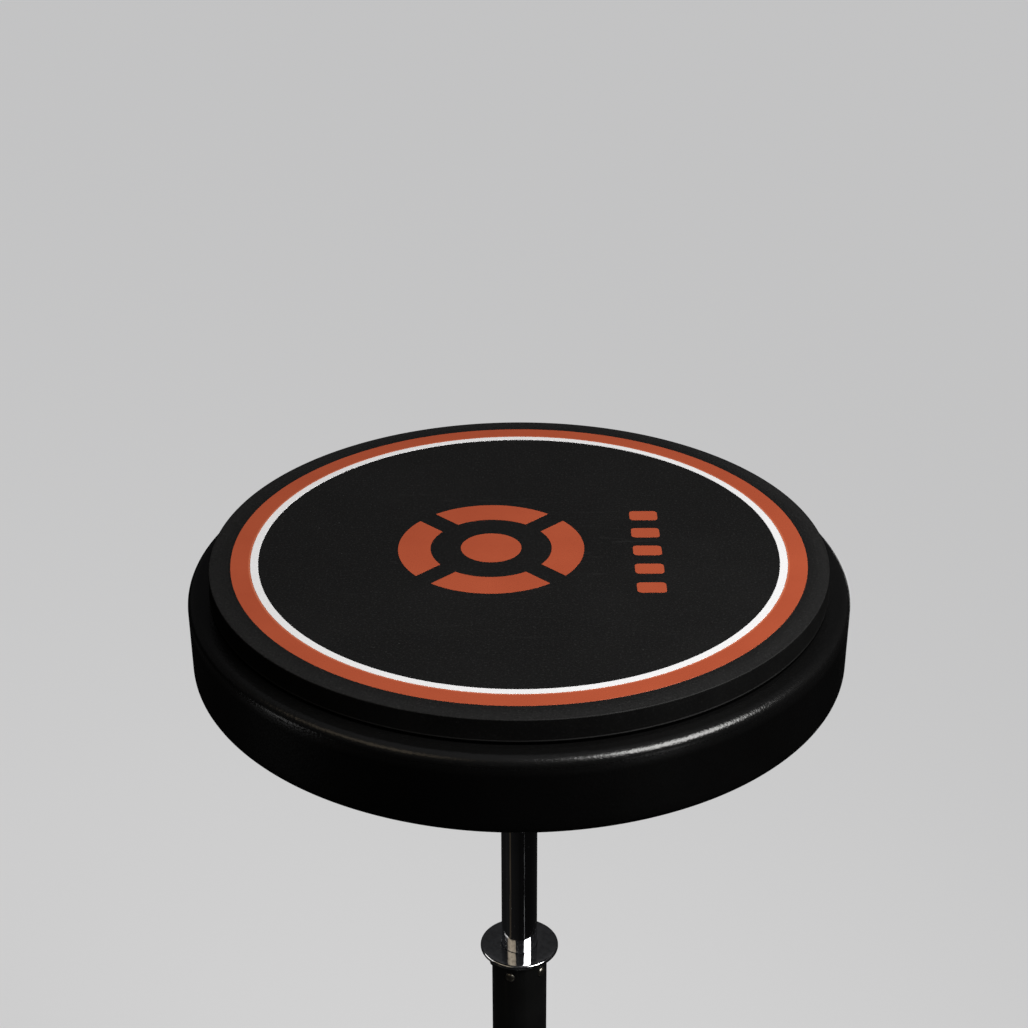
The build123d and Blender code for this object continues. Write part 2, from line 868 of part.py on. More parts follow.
def leg_hub():
    """Hub on the lower tube with three slotted arms."""
    round_start = (hub_r, hub_top - hub_round)
    round_end = (hub_r - hub_round, hub_top)
    with BuildPart() as hub:
        for azimuth in leg_azimuths:
            with BuildSketch(arm_plane(azimuth)):
                Circle(8.0)
                with Locations((-12.0, 0)):
                    Rectangle(4.0, 24.0)
                make_hull()
            extrude(amount=ear_half, both=True)
        # rounded outer ends of the arms' broad upright faces
        chamfer(
            hub.faces()
            .filter_by(lambda f: f.area > 150.0 and abs(f.normal_at().Z) < 0.01)
            .edges()
            .filter_by(GeomType.CIRCLE),
            0.8,
        )
        for azimuth in leg_azimuths:
            with BuildSketch(arm_plane(azimuth)):
                with Locations((1.0, 0)):
                    Rectangle(22.0, 30.0)
            extrude(amount=slot_half, both=True, mode=Mode.SUBTRACT)
            with BuildSketch(arm_plane(azimuth)):
                Circle(pivot_bolt_r + 0.02)
            extrude(amount=12.0, both=True, mode=Mode.SUBTRACT)
        with BuildSketch(Plane.XZ):
            with BuildLine():
                Polyline(
                    (0, hub_bottom),
                    (hub_r - 2.0, hub_bottom),
                    (hub_r, hub_bottom + 2.0),
                    round_start,
                )
                RadiusArc(round_start, round_end, -hub_round)
                Polyline(round_end, (0, hub_top), (0, hub_bottom))
            make_face()
        revolve(axis=Axis.Z)
        # long upright edges where the arms meet the hub
        fillet(
            hub.edges().filter_by(
                lambda e: e.geom_type == GeomType.LINE
                and abs(e.tangent_at(0.5).Z) > 0.999
                and 13.0 < math.hypot(e.center().X, e.center().Y) < 19.0
                and e.length > 8.0
            ),
            1.4,
        )
        with BuildSketch(Plane.XY.offset(hub_bottom)):
            Circle(low_r + 0.03)
        extrude(amount=hub_top - hub_bottom, mode=Mode.SUBTRACT)
        with BuildSketch(Plane.XZ):
            with Locations((0, pivot_z)):
                Circle(set_screw_r + 0.02)
        extrude(amount=20.0, mode=Mode.SUBTRACT)
    return hub


def hub_set_screw():
    """Socket set screw on the -Y side of the hub."""
    inner_end = low_r + 0.05
    with BuildPart() as screw:
        with BuildSketch(Plane.XZ.offset(inner_end)):
            with Locations((0, pivot_z)):
                Circle(set_screw_r)
        extrude(amount=set_screw_l)
        with BuildSketch(Plane.XZ.offset(inner_end + set_screw_l)):
            with Locations((0, pivot_z)):
                RegularPolygon(1.25, 6, major_radius=False)
        extrude(amount=-2.4, mode=Mode.SUBTRACT)
    return screw


def pivot_bolts():
    """Three pivot bolts with domed socket heads."""
    shank_end = nut_end + 0.8
    head_r, head_h = 4.7, 2.8
    with BuildPart() as bolts:
        for azimuth in leg_azimuths:
            arm = arm_plane(azimuth)
            with BuildSketch(arm.offset(-shank_end)):
                Circle(pivot_bolt_r)
            extrude(amount=shank_end + pivot_seat + 0.1)
            # domed head: half profile turned about the pivot axis
            head = Plane(
                arm.origin + arm.z_dir * pivot_seat,
                x_dir=arm.x_dir,
                z_dir=arm.x_dir.cross(arm.z_dir),
            )
            with BuildSketch(head):
                with BuildLine():
                    Line((0, 0), (head_r, 0))
                    Line((head_r, 0), (head_r, 0.8))
                    ThreePointArc((head_r, 0.8), (3.6, 2.2), (1.8, head_h))
                    Polyline((1.8, head_h), (0, head_h), (0, 0))
                make_face()
            revolve(axis=Axis(head.origin, arm.z_dir))
            with BuildSketch(arm.offset(pivot_seat + head_h)):
                RegularPolygon(1.5, 6, major_radius=False)
            extrude(amount=-1.7, mode=Mode.SUBTRACT)
    return bolts


def pivot_washers():
    """A washer on each side of each arm."""
    with BuildPart() as washers:
        for azimuth in leg_azimuths:
            for start in (ear_half, -pivot_seat):
                with BuildSketch(arm_plane(azimuth).offset(start)):
                    Circle(5.0)
                    Circle(pivot_bolt_r + 0.05, mode=Mode.SUBTRACT)
                extrude(amount=pivot_washer_t)
    return washers


def pivot_nuts():
    """Three hexagon nuts, each with a round collar on its outer face."""
    with BuildPart() as nuts:
        for azimuth in leg_azimuths:
            with BuildSketch(arm_plane(azimuth).offset(-nut_face)):
                RegularPolygon(4.0, 6, major_radius=False)
            extrude(amount=pivot_nut_t)
            with BuildSketch(arm_plane(azimuth).offset(-nut_end)):
                Circle(3.7)
            extrude(amount=nut_collar_t)
            with BuildSketch(arm_plane(azimuth).offset(-nut_end)):
                Circle(pivot_bolt_r + 0.01)
            extrude(amount=pivot_nut_t + nut_collar_t, mode=Mode.SUBTRACT)
    return nuts


# ----------------------------------------------------------------------------
# Legs; distances along a leg are from its pivot
# ----------------------------------------------------------------------------
leg_r, leg_bore_r = 7.0, 5.8
leg_tube_start, leg_tube_end = 16.0, 140.0
eye_r, eye_half = 7.0, 4.0
foot_r, foot_start, foot_end = 8.8, 116.0, 148.0
foot_round = 4.0
sole_reach = 134.0


def leg_eye(azimuth):
    """Eye between the hub's ears; its heel stops the leg when open."""
    leg, arm = leg_plane(azimuth), arm_plane(azimuth)
    spigot_r, spigot_end = leg_bore_r - 0.02, 34.0
    with BuildPart() as eye:
        with BuildSketch(arm):
            Circle(eye_r)
            with BuildLine():
                Polyline(
                    (0, 0), (-8.9, 0), (-8.9, -3.4), (-5.0, -6.4), (0, -eye_r), close=True
                )
            make_face()
        extrude(amount=eye_half, both=True)
        with BuildSketch(leg):
            with Locations((7.5, 0)):
                Rectangle(15.0, 10.0)
        extrude(amount=eye_half, both=True)
        chamfer(
            eye.faces()
            .filter_by(lambda f: abs(f.normal_at().dot(arm.z_dir)) > 0.999)
            .edges(),
            0.5,
        )
        # shoulder against the tube's end and spigot inside it
        with BuildSketch(leg):
            with BuildLine():
                Polyline(
                    (12.5, 0),
                    (12.5, 5.6),
                    (13.6, leg_r),
                    (leg_tube_start, leg_r),
                    (leg_tube_start, spigot_r),
                    (spigot_end - 1.0, spigot_r),
                    (spigot_end, leg_bore_r - 0.8),
                    (spigot_end, 0),
                    close=True,
                )
            make_face()
        revolve(axis=Axis(leg.origin, leg.x_dir))
        with BuildSketch(arm):
            Circle(pivot_bolt_r + 0.05)
        extrude(amount=6.0, both=True, mode=Mode.SUBTRACT)
    return eye


def leg_tube(azimuth):
    leg = leg_plane(azimuth)
    profile = [  # (distance along the leg, radius)
        (leg_tube_start, leg_bore_r),
        (leg_tube_end, leg_bore_r),
        (leg_tube_end, leg_r),
        (leg_tube_start, leg_r),
    ]
    return turned(profile, leg, Axis(leg.origin, leg.x_dir))


def leg_foot(azimuth):
    """Rubber foot: a sleeve over the tube with a flat sole on the floor."""
    leg = leg_plane(azimuth)
    leg_axis = Axis(leg.origin, leg.x_dir)
    sole = leg.origin + leg.x_dir * sole_reach
    round_start = (foot_end - foot_round, foot_r)
    round_end = (foot_end, foot_r - foot_round)
    bore_start, bore_end = 110.0, leg_tube_end + 0.05
    groove_centre_r, groove_r = foot_r + 0.1, 0.6
    with BuildPart() as foot:
        with BuildSketch(leg):
            with BuildLine():
                Polyline(
                    (foot_start, 0),
                    (foot_start, foot_r - 0.9),
                    (foot_start + 0.9, foot_r),
                    round_start,
                )
                RadiusArc(round_start, round_end, -foot_round)
                Polyline(round_end, (foot_end, 0), (foot_start, 0))
            make_face()
        revolve(axis=leg_axis)
        with BuildSketch(Plane((sole.X, sole.Y, 0))):
            Circle(foot_r + 0.2)
        extrude(amount=sole.Z, taper=3.0)
        with BuildSketch(leg):
            with BuildLine():
                Polyline(
                    (bore_start, 0),
                    (bore_start, leg_r),
                    (bore_end, leg_r),
                    (bore_end, 0),
                    close=True,
                )
            make_face()
        revolve(axis=leg_axis, mode=Mode.SUBTRACT)
        with BuildSketch(leg):
            with Locations(*[(x, groove_centre_r) for x in (119.6, 122.0, 124.4)]):
                Circle(groove_r)
        revolve(axis=leg_axis, mode=Mode.SUBTRACT)
        fillet(foot.faces().sort_by(Axis.Z)[0].edges(), 1.0)
    return foot


# ----------------------------------------------------------------------------
# Build and save
# ----------------------------------------------------------------------------
single_pieces = (
    playing_surface, ink_ring_white, ink_ring_orange, ink_centre_mark,
    damping_layer, body_shell, core_board, mount_plate, plate_screws,
    core_screws, base_mat, lock_washer, lock_nut,
    top_rod, expander_stud, expander_clip, expander_sleeve, expander_cone,
    mid_tube, flange_bush, bush_pins, mid_guide_ring,
    lower_tube, post_end_plug, clamp_collar, collar_rivet, tube_bushing,
    clamp_shoe, clamp_bolt, wing_knob,
    leg_hub, hub_set_screw, pivot_bolts, pivot_washers, pivot_nuts,
)
for build in single_pieces:
    save(build(), build.__name__)

for number, azimuth in enumerate(leg_azimuths, start=1):
    for build in (leg_eye, leg_tube, leg_foot):
        save(build(azimuth), f"{build.__name__}_{number}")
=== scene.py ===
# Round practice pad on a folding three-legged stand, built around the CAD frame.
# Metres, +Z up: the post runs up the Z axis from the floor at z = 0, the pad lies
# level on top, and the camera looks from the front (-Y) with +X on its right.
import json
import math
import random

import bmesh
import bpy
from mathutils import Matrix, Vector, noise


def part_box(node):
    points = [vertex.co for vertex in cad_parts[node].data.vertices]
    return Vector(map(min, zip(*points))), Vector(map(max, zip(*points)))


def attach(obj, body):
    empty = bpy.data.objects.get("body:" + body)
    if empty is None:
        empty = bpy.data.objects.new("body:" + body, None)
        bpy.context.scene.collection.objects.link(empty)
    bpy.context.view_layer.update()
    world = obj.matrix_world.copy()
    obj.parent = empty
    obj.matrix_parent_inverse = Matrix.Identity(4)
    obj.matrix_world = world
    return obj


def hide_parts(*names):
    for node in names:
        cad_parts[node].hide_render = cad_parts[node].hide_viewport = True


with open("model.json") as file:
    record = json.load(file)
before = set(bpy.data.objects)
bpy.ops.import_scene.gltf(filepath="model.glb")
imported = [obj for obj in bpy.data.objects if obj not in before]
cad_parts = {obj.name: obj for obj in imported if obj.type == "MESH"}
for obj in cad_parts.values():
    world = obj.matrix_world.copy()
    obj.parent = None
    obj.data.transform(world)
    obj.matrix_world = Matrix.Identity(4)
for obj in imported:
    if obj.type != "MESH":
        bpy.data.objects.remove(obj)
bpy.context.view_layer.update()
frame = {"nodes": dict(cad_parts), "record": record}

random.seed(7)

MM = 0.001
NODES = frame["nodes"]


# ----------------------------------------------------------------------------
# Positions read from the frame
# ----------------------------------------------------------------------------
def top(node):
    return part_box(node)[1][2]


def low(node):
    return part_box(node)[0][2]


def radius(node):
    lo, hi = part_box(node)
    return (hi[0] - lo[0]) / 2


FACE_Z = top("playing_surface")
SEAM_Z = low("playing_surface")  # where the rubber face meets the shell
FACE_R = radius("playing_surface")
MAT_TOP = top("base_mat")
INK_RISE = 0.05 * MM  # the rubber lies this far below the top of the ink


# ----------------------------------------------------------------------------
# Mesh helpers
# ----------------------------------------------------------------------------
def link(obj):
    bpy.context.scene.collection.objects.link(obj)
    return obj


def finish_mesh(name, verts, faces, sharp=32.0):
    """A smooth-shaded mesh object; edges over `sharp` degrees stay sharp."""
    mesh = bpy.data.meshes.new(name)
    mesh.from_pydata([tuple(v) for v in verts], [], faces)
    bm = bmesh.new()
    bm.from_mesh(mesh)
    bmesh.ops.remove_doubles(bm, verts=bm.verts, dist=1e-7)
    bmesh.ops.recalc_face_normals(bm, faces=bm.faces)
    limit = math.radians(sharp)
    for face in bm.faces:
        face.smooth = True
    for edge in bm.edges:
        edge.smooth = len(edge.link_faces) == 2 and edge.calc_face_angle(0.0) < limit
    bm.to_mesh(mesh)
    bm.free()
    mesh.update()
    return link(bpy.data.objects.new(name, mesh))


def rounded(corners, steps):
    """Turns corners (r, z, fillet) into points (r, z); `steps` is per quarter turn."""
    outline = []
    for i, (x, y, fillet) in enumerate(corners):
        if fillet <= 0:
            outline.append((x, y))
            continue
        last_x, last_y, _ = corners[i - 1]
        next_x, next_y, _ = corners[(i + 1) % len(corners)]
        back = Vector((last_x - x, last_y - y))
        ahead = Vector((next_x - x, next_y - y))
        back_length, ahead_length = back.length, ahead.length
        back.normalize()
        ahead.normalize()
        angle = math.acos(max(-1.0, min(1.0, back.dot(ahead))))
        # too straight or too folded to carry a fillet
        if angle > math.pi - 0.02 or angle < 0.02:
            outline.append((x, y))
            continue
        cut = min(fillet / math.tan(angle / 2), back_length * 0.49, ahead_length * 0.49)
        arc_r = cut * math.tan(angle / 2)
        corner = Vector((x, y))
        centre = corner + (back + ahead).normalized() * (arc_r / math.sin(angle / 2))
        start = corner + back * cut - centre
        end = corner + ahead * cut - centre
        first = math.atan2(start.y, start.x)
        last = math.atan2(end.y, end.x)
        turn = (last - first + math.pi) % (2 * math.pi) - math.pi
        count = max(2, int(steps * max(0.5, abs(turn) / (math.pi / 2))) + 1)
        for k in range(count + 1):
            t = first + turn * k / count
            outline.append((centre.x + arc_r * math.cos(t), centre.y + arc_r * math.sin(t)))
    return outline


def dense(profile, step):
    """Adds points along straight runs so that no run is longer than step."""
    out = []
    for i, (x, y) in enumerate(profile):
        next_x, next_y = profile[(i + 1) % len(profile)]
        out.append((x, y))
        count = int(math.hypot(next_x - x, next_y - y) / step)
        for k in range(1, count + 1):
            t = k / (count + 1)
            out.append((x + (next_x - x) * t, y + (next_y - y) * t))
    return out


def lathe(name, profile, segments, matrix=None, warp=None, sharp=32.0):
    """Turns (r, z) points round the local Z axis; a point at r = 0 becomes a pole.

    A profile that starts away from the axis is closed into a loop.
    """
    verts, rings = [], []
    for r, z in profile:
        if r < 1e-7:
            rings.append([len(verts)])
            verts.append(Vector((0, 0, z)))
            continue
        ring = []
        for k in range(segments):
            t = 2 * math.pi * k / segments
            ring_r, ring_z = warp(r, z, t) if warp else (r, z)
            ring.append(len(verts))
            verts.append(Vector((ring_r * math.cos(t), ring_r * math.sin(t), ring_z)))
        rings.append(ring)
    pairs = list(zip(rings, rings[1:]))
    if len(rings[0]) > 1:
        pairs.append((rings[-1], rings[0]))
    faces = []
    for a, b in pairs:
        if len(a) == 1 and len(b) == 1:
            continue
        for k in range(segments):
            j = (k + 1) % segments
            if len(a) == 1:
                faces.append((a[0], b[k], b[j]))
            elif len(b) == 1:
                faces.append((a[k], b[0], a[j]))
            else:
                faces.append((a[k], b[k], b[j], a[j]))
    if matrix is not None:
        verts = [matrix @ v for v in verts]
    return finish_mesh(name, verts, faces, sharp)


def band(first, second, count):
    """Quads between two rings of vertices, given the index each ring starts at."""
    quads = []
    for k in range(count):
        j = (k + 1) % count
        quads.append((first + k, second + k, second + j, first + j))
    return quads


def axes_matrix(origin, z_axis, x_axis):
    """Matrix whose local Z and X point along the given axes."""
    z = Vector(z_axis).normalized()
    x = Vector(x_axis)
    x = (x - z * x.dot(z)).normalized()
    matrix = Matrix((x, z.cross(x), z)).transposed().to_4x4()
    matrix.translation = Vector(origin)
    return matrix


def cast_copy(name, node, voxel, rounds):
    """A moulded or cast version of a CAD node: same shape, every edge slightly rounded."""
    source = NODES[node]
    sharp_mesh = source.data.copy()
    sharp_mesh.name = name
    obj = link(bpy.data.objects.new(name, sharp_mesh))
    sharp_mesh.transform(source.matrix_world)
    sharp_mesh.materials.clear()
    bm = bmesh.new()
    bm.from_mesh(sharp_mesh)
    bmesh.ops.remove_doubles(bm, verts=bm.verts, dist=2e-6)
    bm.to_mesh(sharp_mesh)
    bm.free()
    remesh = obj.modifiers.new("voxels", "REMESH")
    remesh.mode = "VOXEL"
    remesh.voxel_size = voxel
    remesh.use_smooth_shade = True
    smooth = obj.modifiers.new("round", "SMOOTH")
    smooth.factor = 0.5
    smooth.iterations = rounds

    # apply both modifiers
    graph = bpy.context.evaluated_depsgraph_get()
    graph.update()
    mesh = bpy.data.meshes.new_from_object(obj.evaluated_get(graph), depsgraph=graph)
    obj.modifiers.clear()
    obj.data = mesh
    mesh.name = name
    bpy.data.meshes.remove(sharp_mesh)
    for poly in mesh.polygons:
        poly.use_smooth = True
    return obj


def join_into(name, parts):
    """Joins mesh objects that have no transform of their own into one piece."""
    bm = bmesh.new()
    for part in parts:
        bm.from_mesh(part.data)
    mesh = bpy.data.meshes.new(name)
    bm.to_mesh(mesh)
    bm.free()
    for part in parts:
        old = part.data
        bpy.data.objects.remove(part)
        bpy.data.meshes.remove(old)
    return link(bpy.data.objects.new(name, mesh))


# ----------------------------------------------------------------------------
# Material helpers
# ----------------------------------------------------------------------------
MATERIALS = {}


class Shade:
    """Builds a Principled material from procedural nodes and lists it in MATERIALS."""

    def __init__(self, name, metallic=0.0):
        self.mat = bpy.data.materials.new(name)
        MATERIALS[name] = self.mat
        self.mat.use_nodes = True
        self.tree = self.mat.node_tree
        self.tree.nodes.clear()
        self.out = self.node("ShaderNodeOutputMaterial")
        self.bsdf = self.node("ShaderNodeBsdfPrincipled", Metallic=metallic, IOR=1.5)
        self.tree.links.new(self.bsdf.outputs["BSDF"], self.out.inputs["Surface"])
        self.co = self.node("ShaderNodeTexCoord").outputs["Object"]
        self.normal = None

    def put(self, socket, value):
        """Links an output, or sets a number or an (r, g, b) colour."""
        if hasattr(value, "is_output"):
            self.tree.links.new(value, socket)
        elif isinstance(value, tuple):
            socket.default_value = (*value, 1.0)
        else:
            socket.default_value = value

    def set(self, name, value):
        self.put(self.bsdf.inputs[name], value)

    def node(self, kind, **inputs):
        made = self.tree.nodes.new(kind)
        for key, value in inputs.items():
            self.put(made.inputs[key], value)
        return made

    def calc(self, operation, *terms):
        made = self.node("ShaderNodeMath")
        made.operation = operation
        for socket, value in zip(made.inputs, (*terms, 0.0, 0.0)):
            self.put(socket, value)
        return made.outputs[0]

    def times(self, a, b):
        return self.calc("MULTIPLY", a, b)

    def add(self, *weighted, start):
        """The start value plus each (value, weight) pair in turn."""
        for value, weight in weighted:
            start = self.calc("MULTIPLY_ADD", value, weight, start)
        return start

    def noise(self, scale=1.0, detail=2.0, rough=0.5, distortion=0.0, vector=None):
        return self.node(
            "ShaderNodeTexNoise",
            Vector=vector or self.co,
            Scale=scale,
            Detail=detail,
            Roughness=rough,
            Distortion=distortion,
        ).outputs[0]

    def streaks(self, stretch, offset=(0, 0, 0), **look):
        """Noise with its own scale on each axis."""
        mapping = self.node("ShaderNodeMapping", Vector=self.co)
        mapping.inputs["Scale"].default_value = stretch
        mapping.inputs["Location"].default_value = offset
        return self.noise(vector=mapping.outputs["Vector"], **look)

    def cells(self, scale, feature="F1"):
        made = self.node("ShaderNodeTexVoronoi")
        made.feature = feature
        self.put(made.inputs["Vector"], self.co)
        self.put(made.inputs["Scale"], scale)
        return made.outputs["Distance"]

    def ramp(self, value, span, to=(0.0, 1.0), smooth=True):
        """Maps the span of values onto `to`."""
        made = self.node("ShaderNodeMapRange", Value=value)
        made.interpolation_type = "SMOOTHSTEP" if smooth else "LINEAR"
        made.inputs["From Min"].default_value = span[0]
        made.inputs["From Max"].default_value = span[1]
        made.inputs["To Min"].default_value = to[0]
        made.inputs["To Max"].default_value = to[1]
        return made.outputs["Result"]

    def specks(self, scale, size, patch_scale, patch, detail=1.0):
        """Small round dots that only show inside scattered patches."""
        dots = self.ramp(self.cells(scale), span=size, to=(1.0, 0.0))
        area = self.ramp(self.noise(scale=patch_scale, detail=detail), span=patch)
        return self.times(dots, area)

    def mix(self, mask, under, over, amount=None):
        """Lays one colour over another where the mask (times amount) is high."""
        if amount is not None:
            mask = self.times(mask, amount)
        made = self.node("ShaderNodeMix")
        made.data_type = "RGBA"
        self.put(made.inputs[0], mask)
        self.put(made.inputs[6], under)
        self.put(made.inputs[7], over)
        return made.outputs[2]

    def radial(self):
        """Distance from the post axis, in metres."""
        split = self.node("ShaderNodeSeparateXYZ", Vector=self.co)
        xx = self.times(split.outputs[0], split.outputs[0])
        return self.calc("SQRT", self.add((split.outputs[1], split.outputs[1]), start=xx))

    def height(self):
        return self.node("ShaderNodeSeparateXYZ", Vector=self.co).outputs[2]

    def bump(self, height, distance, strength):
        """Adds a layer of relief on top of those before it."""
        made = self.node("ShaderNodeBump", Strength=strength, Distance=distance, Height=height)
        if self.normal is not None:
            self.tree.links.new(self.normal, made.inputs["Normal"])
        self.normal = made.outputs["Normal"]
        self.set("Normal", self.normal)


def grey(level, tint=(1.0, 1.0, 1.0)):
    return tuple(level * channel for channel in tint)


# ----------------------------------------------------------------------------
# Materials
# ----------------------------------------------------------------------------
def make_rubber_face():
    s = Shade("rubber_face")
    warm = (1.0, 0.985, 1.0)
    r = s.radial()
    cloud = s.noise(scale=38.0, detail=4.0, rough=0.6)
    fine = s.noise(scale=1600.0, detail=3.0, rough=0.7)
    grit = s.noise(scale=1900.0, detail=2.0, rough=0.8)
    dust = s.specks(420.0, size=(0.035, 0.085), patch_scale=160.0, patch=(0.57, 0.66))
    # the unprinted border is a little lighter and more matt than the coated middle
    border = s.ramp(r, span=(0.0660, 0.0662))
    # painted sheen: the border's tone rises towards its rolled outer edge, standing for the
    # light that edge catches
    painted_edge_sheen = s.ramp(r, span=(0.0665, 0.0712), smooth=False)
    side = s.ramp(s.height(), span=(FACE_Z - 0.00045, FACE_Z - 0.00012), to=(1.0, 0.0))
    border_tone_and_sheen = s.mix(painted_edge_sheen, grey(0.0042, warm), grey(0.0115, warm))
    base = s.mix(border, grey(0.0046, (1.0, 0.98, 1.0)), border_tone_and_sheen)
    base = s.mix(side, base, grey(0.0009))
    # painted shade for the gap above the shell (painted near black, as if in shadow), and the
    # lip just over it
    gap = s.ramp(s.height(), span=(SEAM_Z + 0.00041, SEAM_Z + 0.00045), to=(1.0, 0.0))
    lip = s.ramp(s.height(), span=(SEAM_Z + 0.00072, SEAM_Z + 0.00090), to=(1.0, 0.0))
    base = s.mix(s.ramp(cloud, span=(0.35, 0.75), to=(0.0, 0.30)), base, grey(0.0090))
    # moulding grain: thin circumferential streaks, strongest on the border
    ring = s.node("ShaderNodeCombineXYZ", X=s.times(r, 5200.0), Y=s.times(cloud, 2.0), Z=0.0)
    streak = s.noise(rough=0.6, vector=ring.outputs[0])
    amount = s.times(s.add((border, 0.28), start=0.05), s.calc("SUBTRACT", 1.0, side))
    base = s.mix(s.ramp(streak, span=(0.45, 0.75)), base, grey(0.020), amount=amount)
    amount = s.times(s.add((border, 0.10), start=0.50), s.add((side, -0.8), start=1.0))
    base = s.mix(s.ramp(grit, span=(0.50, 0.74)), base, grey(0.028), amount=amount)
    pore = s.streaks((1.0, 1.0, 1.0), offset=(3.1, 1.7, 0.4), scale=2600.0, rough=0.7)
    base = s.mix(s.ramp(pore, span=(0.52, 0.74)), base, grey(0.0006), amount=0.85)
    # faint stick marks, long thin arcs near the middle
    arcs = s.streaks(
        (60.0, 420.0, 60.0), offset=(0.2, 0.1, 0.0), detail=3.0, rough=0.6, distortion=1.5
    )
    middle = s.ramp(r, span=(0.016, 0.052), to=(0.45, 0.0))
    base = s.mix(s.ramp(arcs, span=(0.60, 0.72)), base, grey(0.022), amount=middle)
    base = s.mix(dust, base, grey(0.10), amount=0.30)
    # painted shade: the gap band is painted near black
    base = s.mix(gap, base, grey(0.0003))
    s.set("Base Color", base)
    s.set("Roughness", s.add((cloud, 0.10), (border, 0.05), (fine, 0.08), start=0.50))
    # the side reflects less, its lip a little more again; the gap hardly at all, as part of its
    # painted shade
    dull = s.add((lip, -0.45), start=side)
    shine = s.times(s.add((dull, -0.16), start=0.26), s.add((gap, -0.95), start=1.0))
    s.set("Specular IOR Level", shine)
    s.bump(s.noise(scale=620.0, detail=3.0, rough=0.65), distance=0.00005, strength=0.5)
    s.bump(fine, distance=0.000035, strength=0.7)


def make_ink(name, colour, dark, light, pinhole, overlap=None):
    s = Shade(name)
    cloud = s.noise(scale=45.0, detail=4.0, rough=0.6)
    fine = s.noise(scale=1500.0, detail=3.0, rough=0.7)
    base = s.mix(s.ramp(cloud, span=(0.3, 0.7)), dark, light)
    base = s.mix(0.5, base, colour)
    if overlap:
        # lighter where this ink was printed over the edge of the other ring
        r = s.radial()
        outward = s.ramp(r, span=(0.0610, 0.0611))
        lap = s.times(outward, s.ramp(r, span=(0.06185, 0.06205), to=(1.0, 0.0)))
        base = s.mix(lap, base, overlap, amount=0.55)
    pin = s.specks(520.0, size=(0.03, 0.07), patch_scale=210.0, patch=(0.6, 0.68))
    s.set("Base Color", s.mix(pin, base, pinhole, amount=0.5))
    s.set("Roughness", s.add((fine, 0.10), start=0.40))
    s.set("Specular IOR Level", 0.30)
    s.bump(s.noise(scale=700.0, detail=3.0, rough=0.6), distance=0.00004, strength=0.5)
    s.bump(fine, distance=0.00002, strength=0.6)


def make_foam():
    s = Shade("foam")
    cell = s.cells(1100.0)
    s.set("Base Color", s.mix(s.ramp(cell, span=(0.0, 0.6)), grey(0.010), grey(0.035)))
    s.set("Roughness", s.add((cell, 0.2), start=0.75))
    s.bump(cell, distance=0.0003, strength=0.8)


def make_shell():
    s = Shade("shell_plastic")
    cool = (1.0, 0.98, 1.0)
    cloud = s.noise(scale=30.0, detail=3.0, rough=0.55)
    grain = s.noise(scale=1500.0, detail=3.0, rough=0.7)
    pebble = s.cells(1900.0, "SMOOTH_F1")
    # the upper rim is glossier than the side, and its colour is painted lighter than the side's:
    # painted light on the upward-facing rim
    rim = s.ramp(s.height(), span=(0.4190, 0.4222))
    base = s.mix(s.ramp(cloud, span=(0.3, 0.75)), grey(0.0007, cool), grey(0.0012, cool))
    # painted light: the rim's colour is lifted towards a lighter grey, and the grain shows more
    # strongly there
    base = s.mix(rim, base, grey(0.0042), amount=0.7)
    amount = s.add((rim, 0.20), start=0.02)
    base = s.mix(s.ramp(grain, span=(0.52, 0.78)), base, grey(0.016), amount=amount)
    dust = s.specks(360.0, size=(0.03, 0.08), patch_scale=120.0, patch=(0.6, 0.7))
    s.set("Base Color", s.mix(dust, base, grey(0.06), amount=0.12))
    s.set("Roughness", s.add((cloud, 0.10), (rim, -0.21), (grain, 0.08), start=0.36))
    s.set("Specular IOR Level", s.add((rim, 0.36), start=0.13))
    s.bump(s.noise(scale=150.0), distance=0.00003, strength=0.30)
    s.bump(pebble, distance=0.00009, strength=0.45)
    s.bump(grain, distance=0.00006, strength=0.7)


def make_board():
    s = Shade("board_wood")
    fibre = s.streaks((700.0, 260.0, 900.0), detail=4.0, rough=0.7, distortion=1.0)
    cloud = s.noise(scale=60.0, detail=3.0, rough=0.6)
    base = s.mix(s.ramp(fibre, span=(0.3, 0.7)), (0.20, 0.125, 0.066), (0.36, 0.25, 0.145))
    patchy = s.ramp(cloud, span=(0.35, 0.75), to=(0.0, 0.4))
    s.set("Base Color", s.mix(patchy, base, (0.27, 0.18, 0.10)))
    s.set("Roughness", s.add((fibre, 0.15), start=0.68))
    s.bump(fibre, distance=0.00015, strength=0.6)


def make_rubber():
    s = Shade("rubber_black")
    cloud = s.noise(scale=80.0, detail=4.0, rough=0.65)
    grain = s.noise(scale=1300.0, detail=4.0, rough=0.7)
    brown = grey(0.020, (1.0, 0.98, 0.96))
    base = s.mix(s.ramp(cloud, span=(0.3, 0.8)), grey(0.010), brown)
    dust = s.specks(500.0, size=(0.04, 0.11), patch_scale=150.0, patch=(0.52, 0.66))
    s.set("Base Color", s.mix(dust, base, (0.12, 0.115, 0.105), amount=0.5))
    s.set("Roughness", s.add((grain, 0.2), start=0.58))
    s.set("Specular IOR Level", 0.35)
    s.bump(grain, distance=0.00008, strength=0.6)


def make_metal(name, light, dark, rough, spangle=900.0):
    """Plated, turned or cast metal; `spangle` is the scale of its crystal cells."""
    s = Shade(name, metallic=1.0)
    cloud = s.noise(scale=180.0, detail=4.0, rough=0.6)
    cell = s.cells(spangle)
    base = s.mix(s.ramp(cloud, span=(0.3, 0.75)), light, dark)
    s.set("Base Color", s.mix(s.ramp(cell, span=(0.0, 0.6)), base, dark, amount=0.25))
    turned = s.streaks((400.0, 400.0, 2600.0), detail=3.0, rough=0.6)
    s.set("Roughness", s.add((cloud, 0.22), start=rough))
    s.bump(cell, distance=0.00003, strength=0.3)
    s.bump(turned, distance=0.000015, strength=0.4)


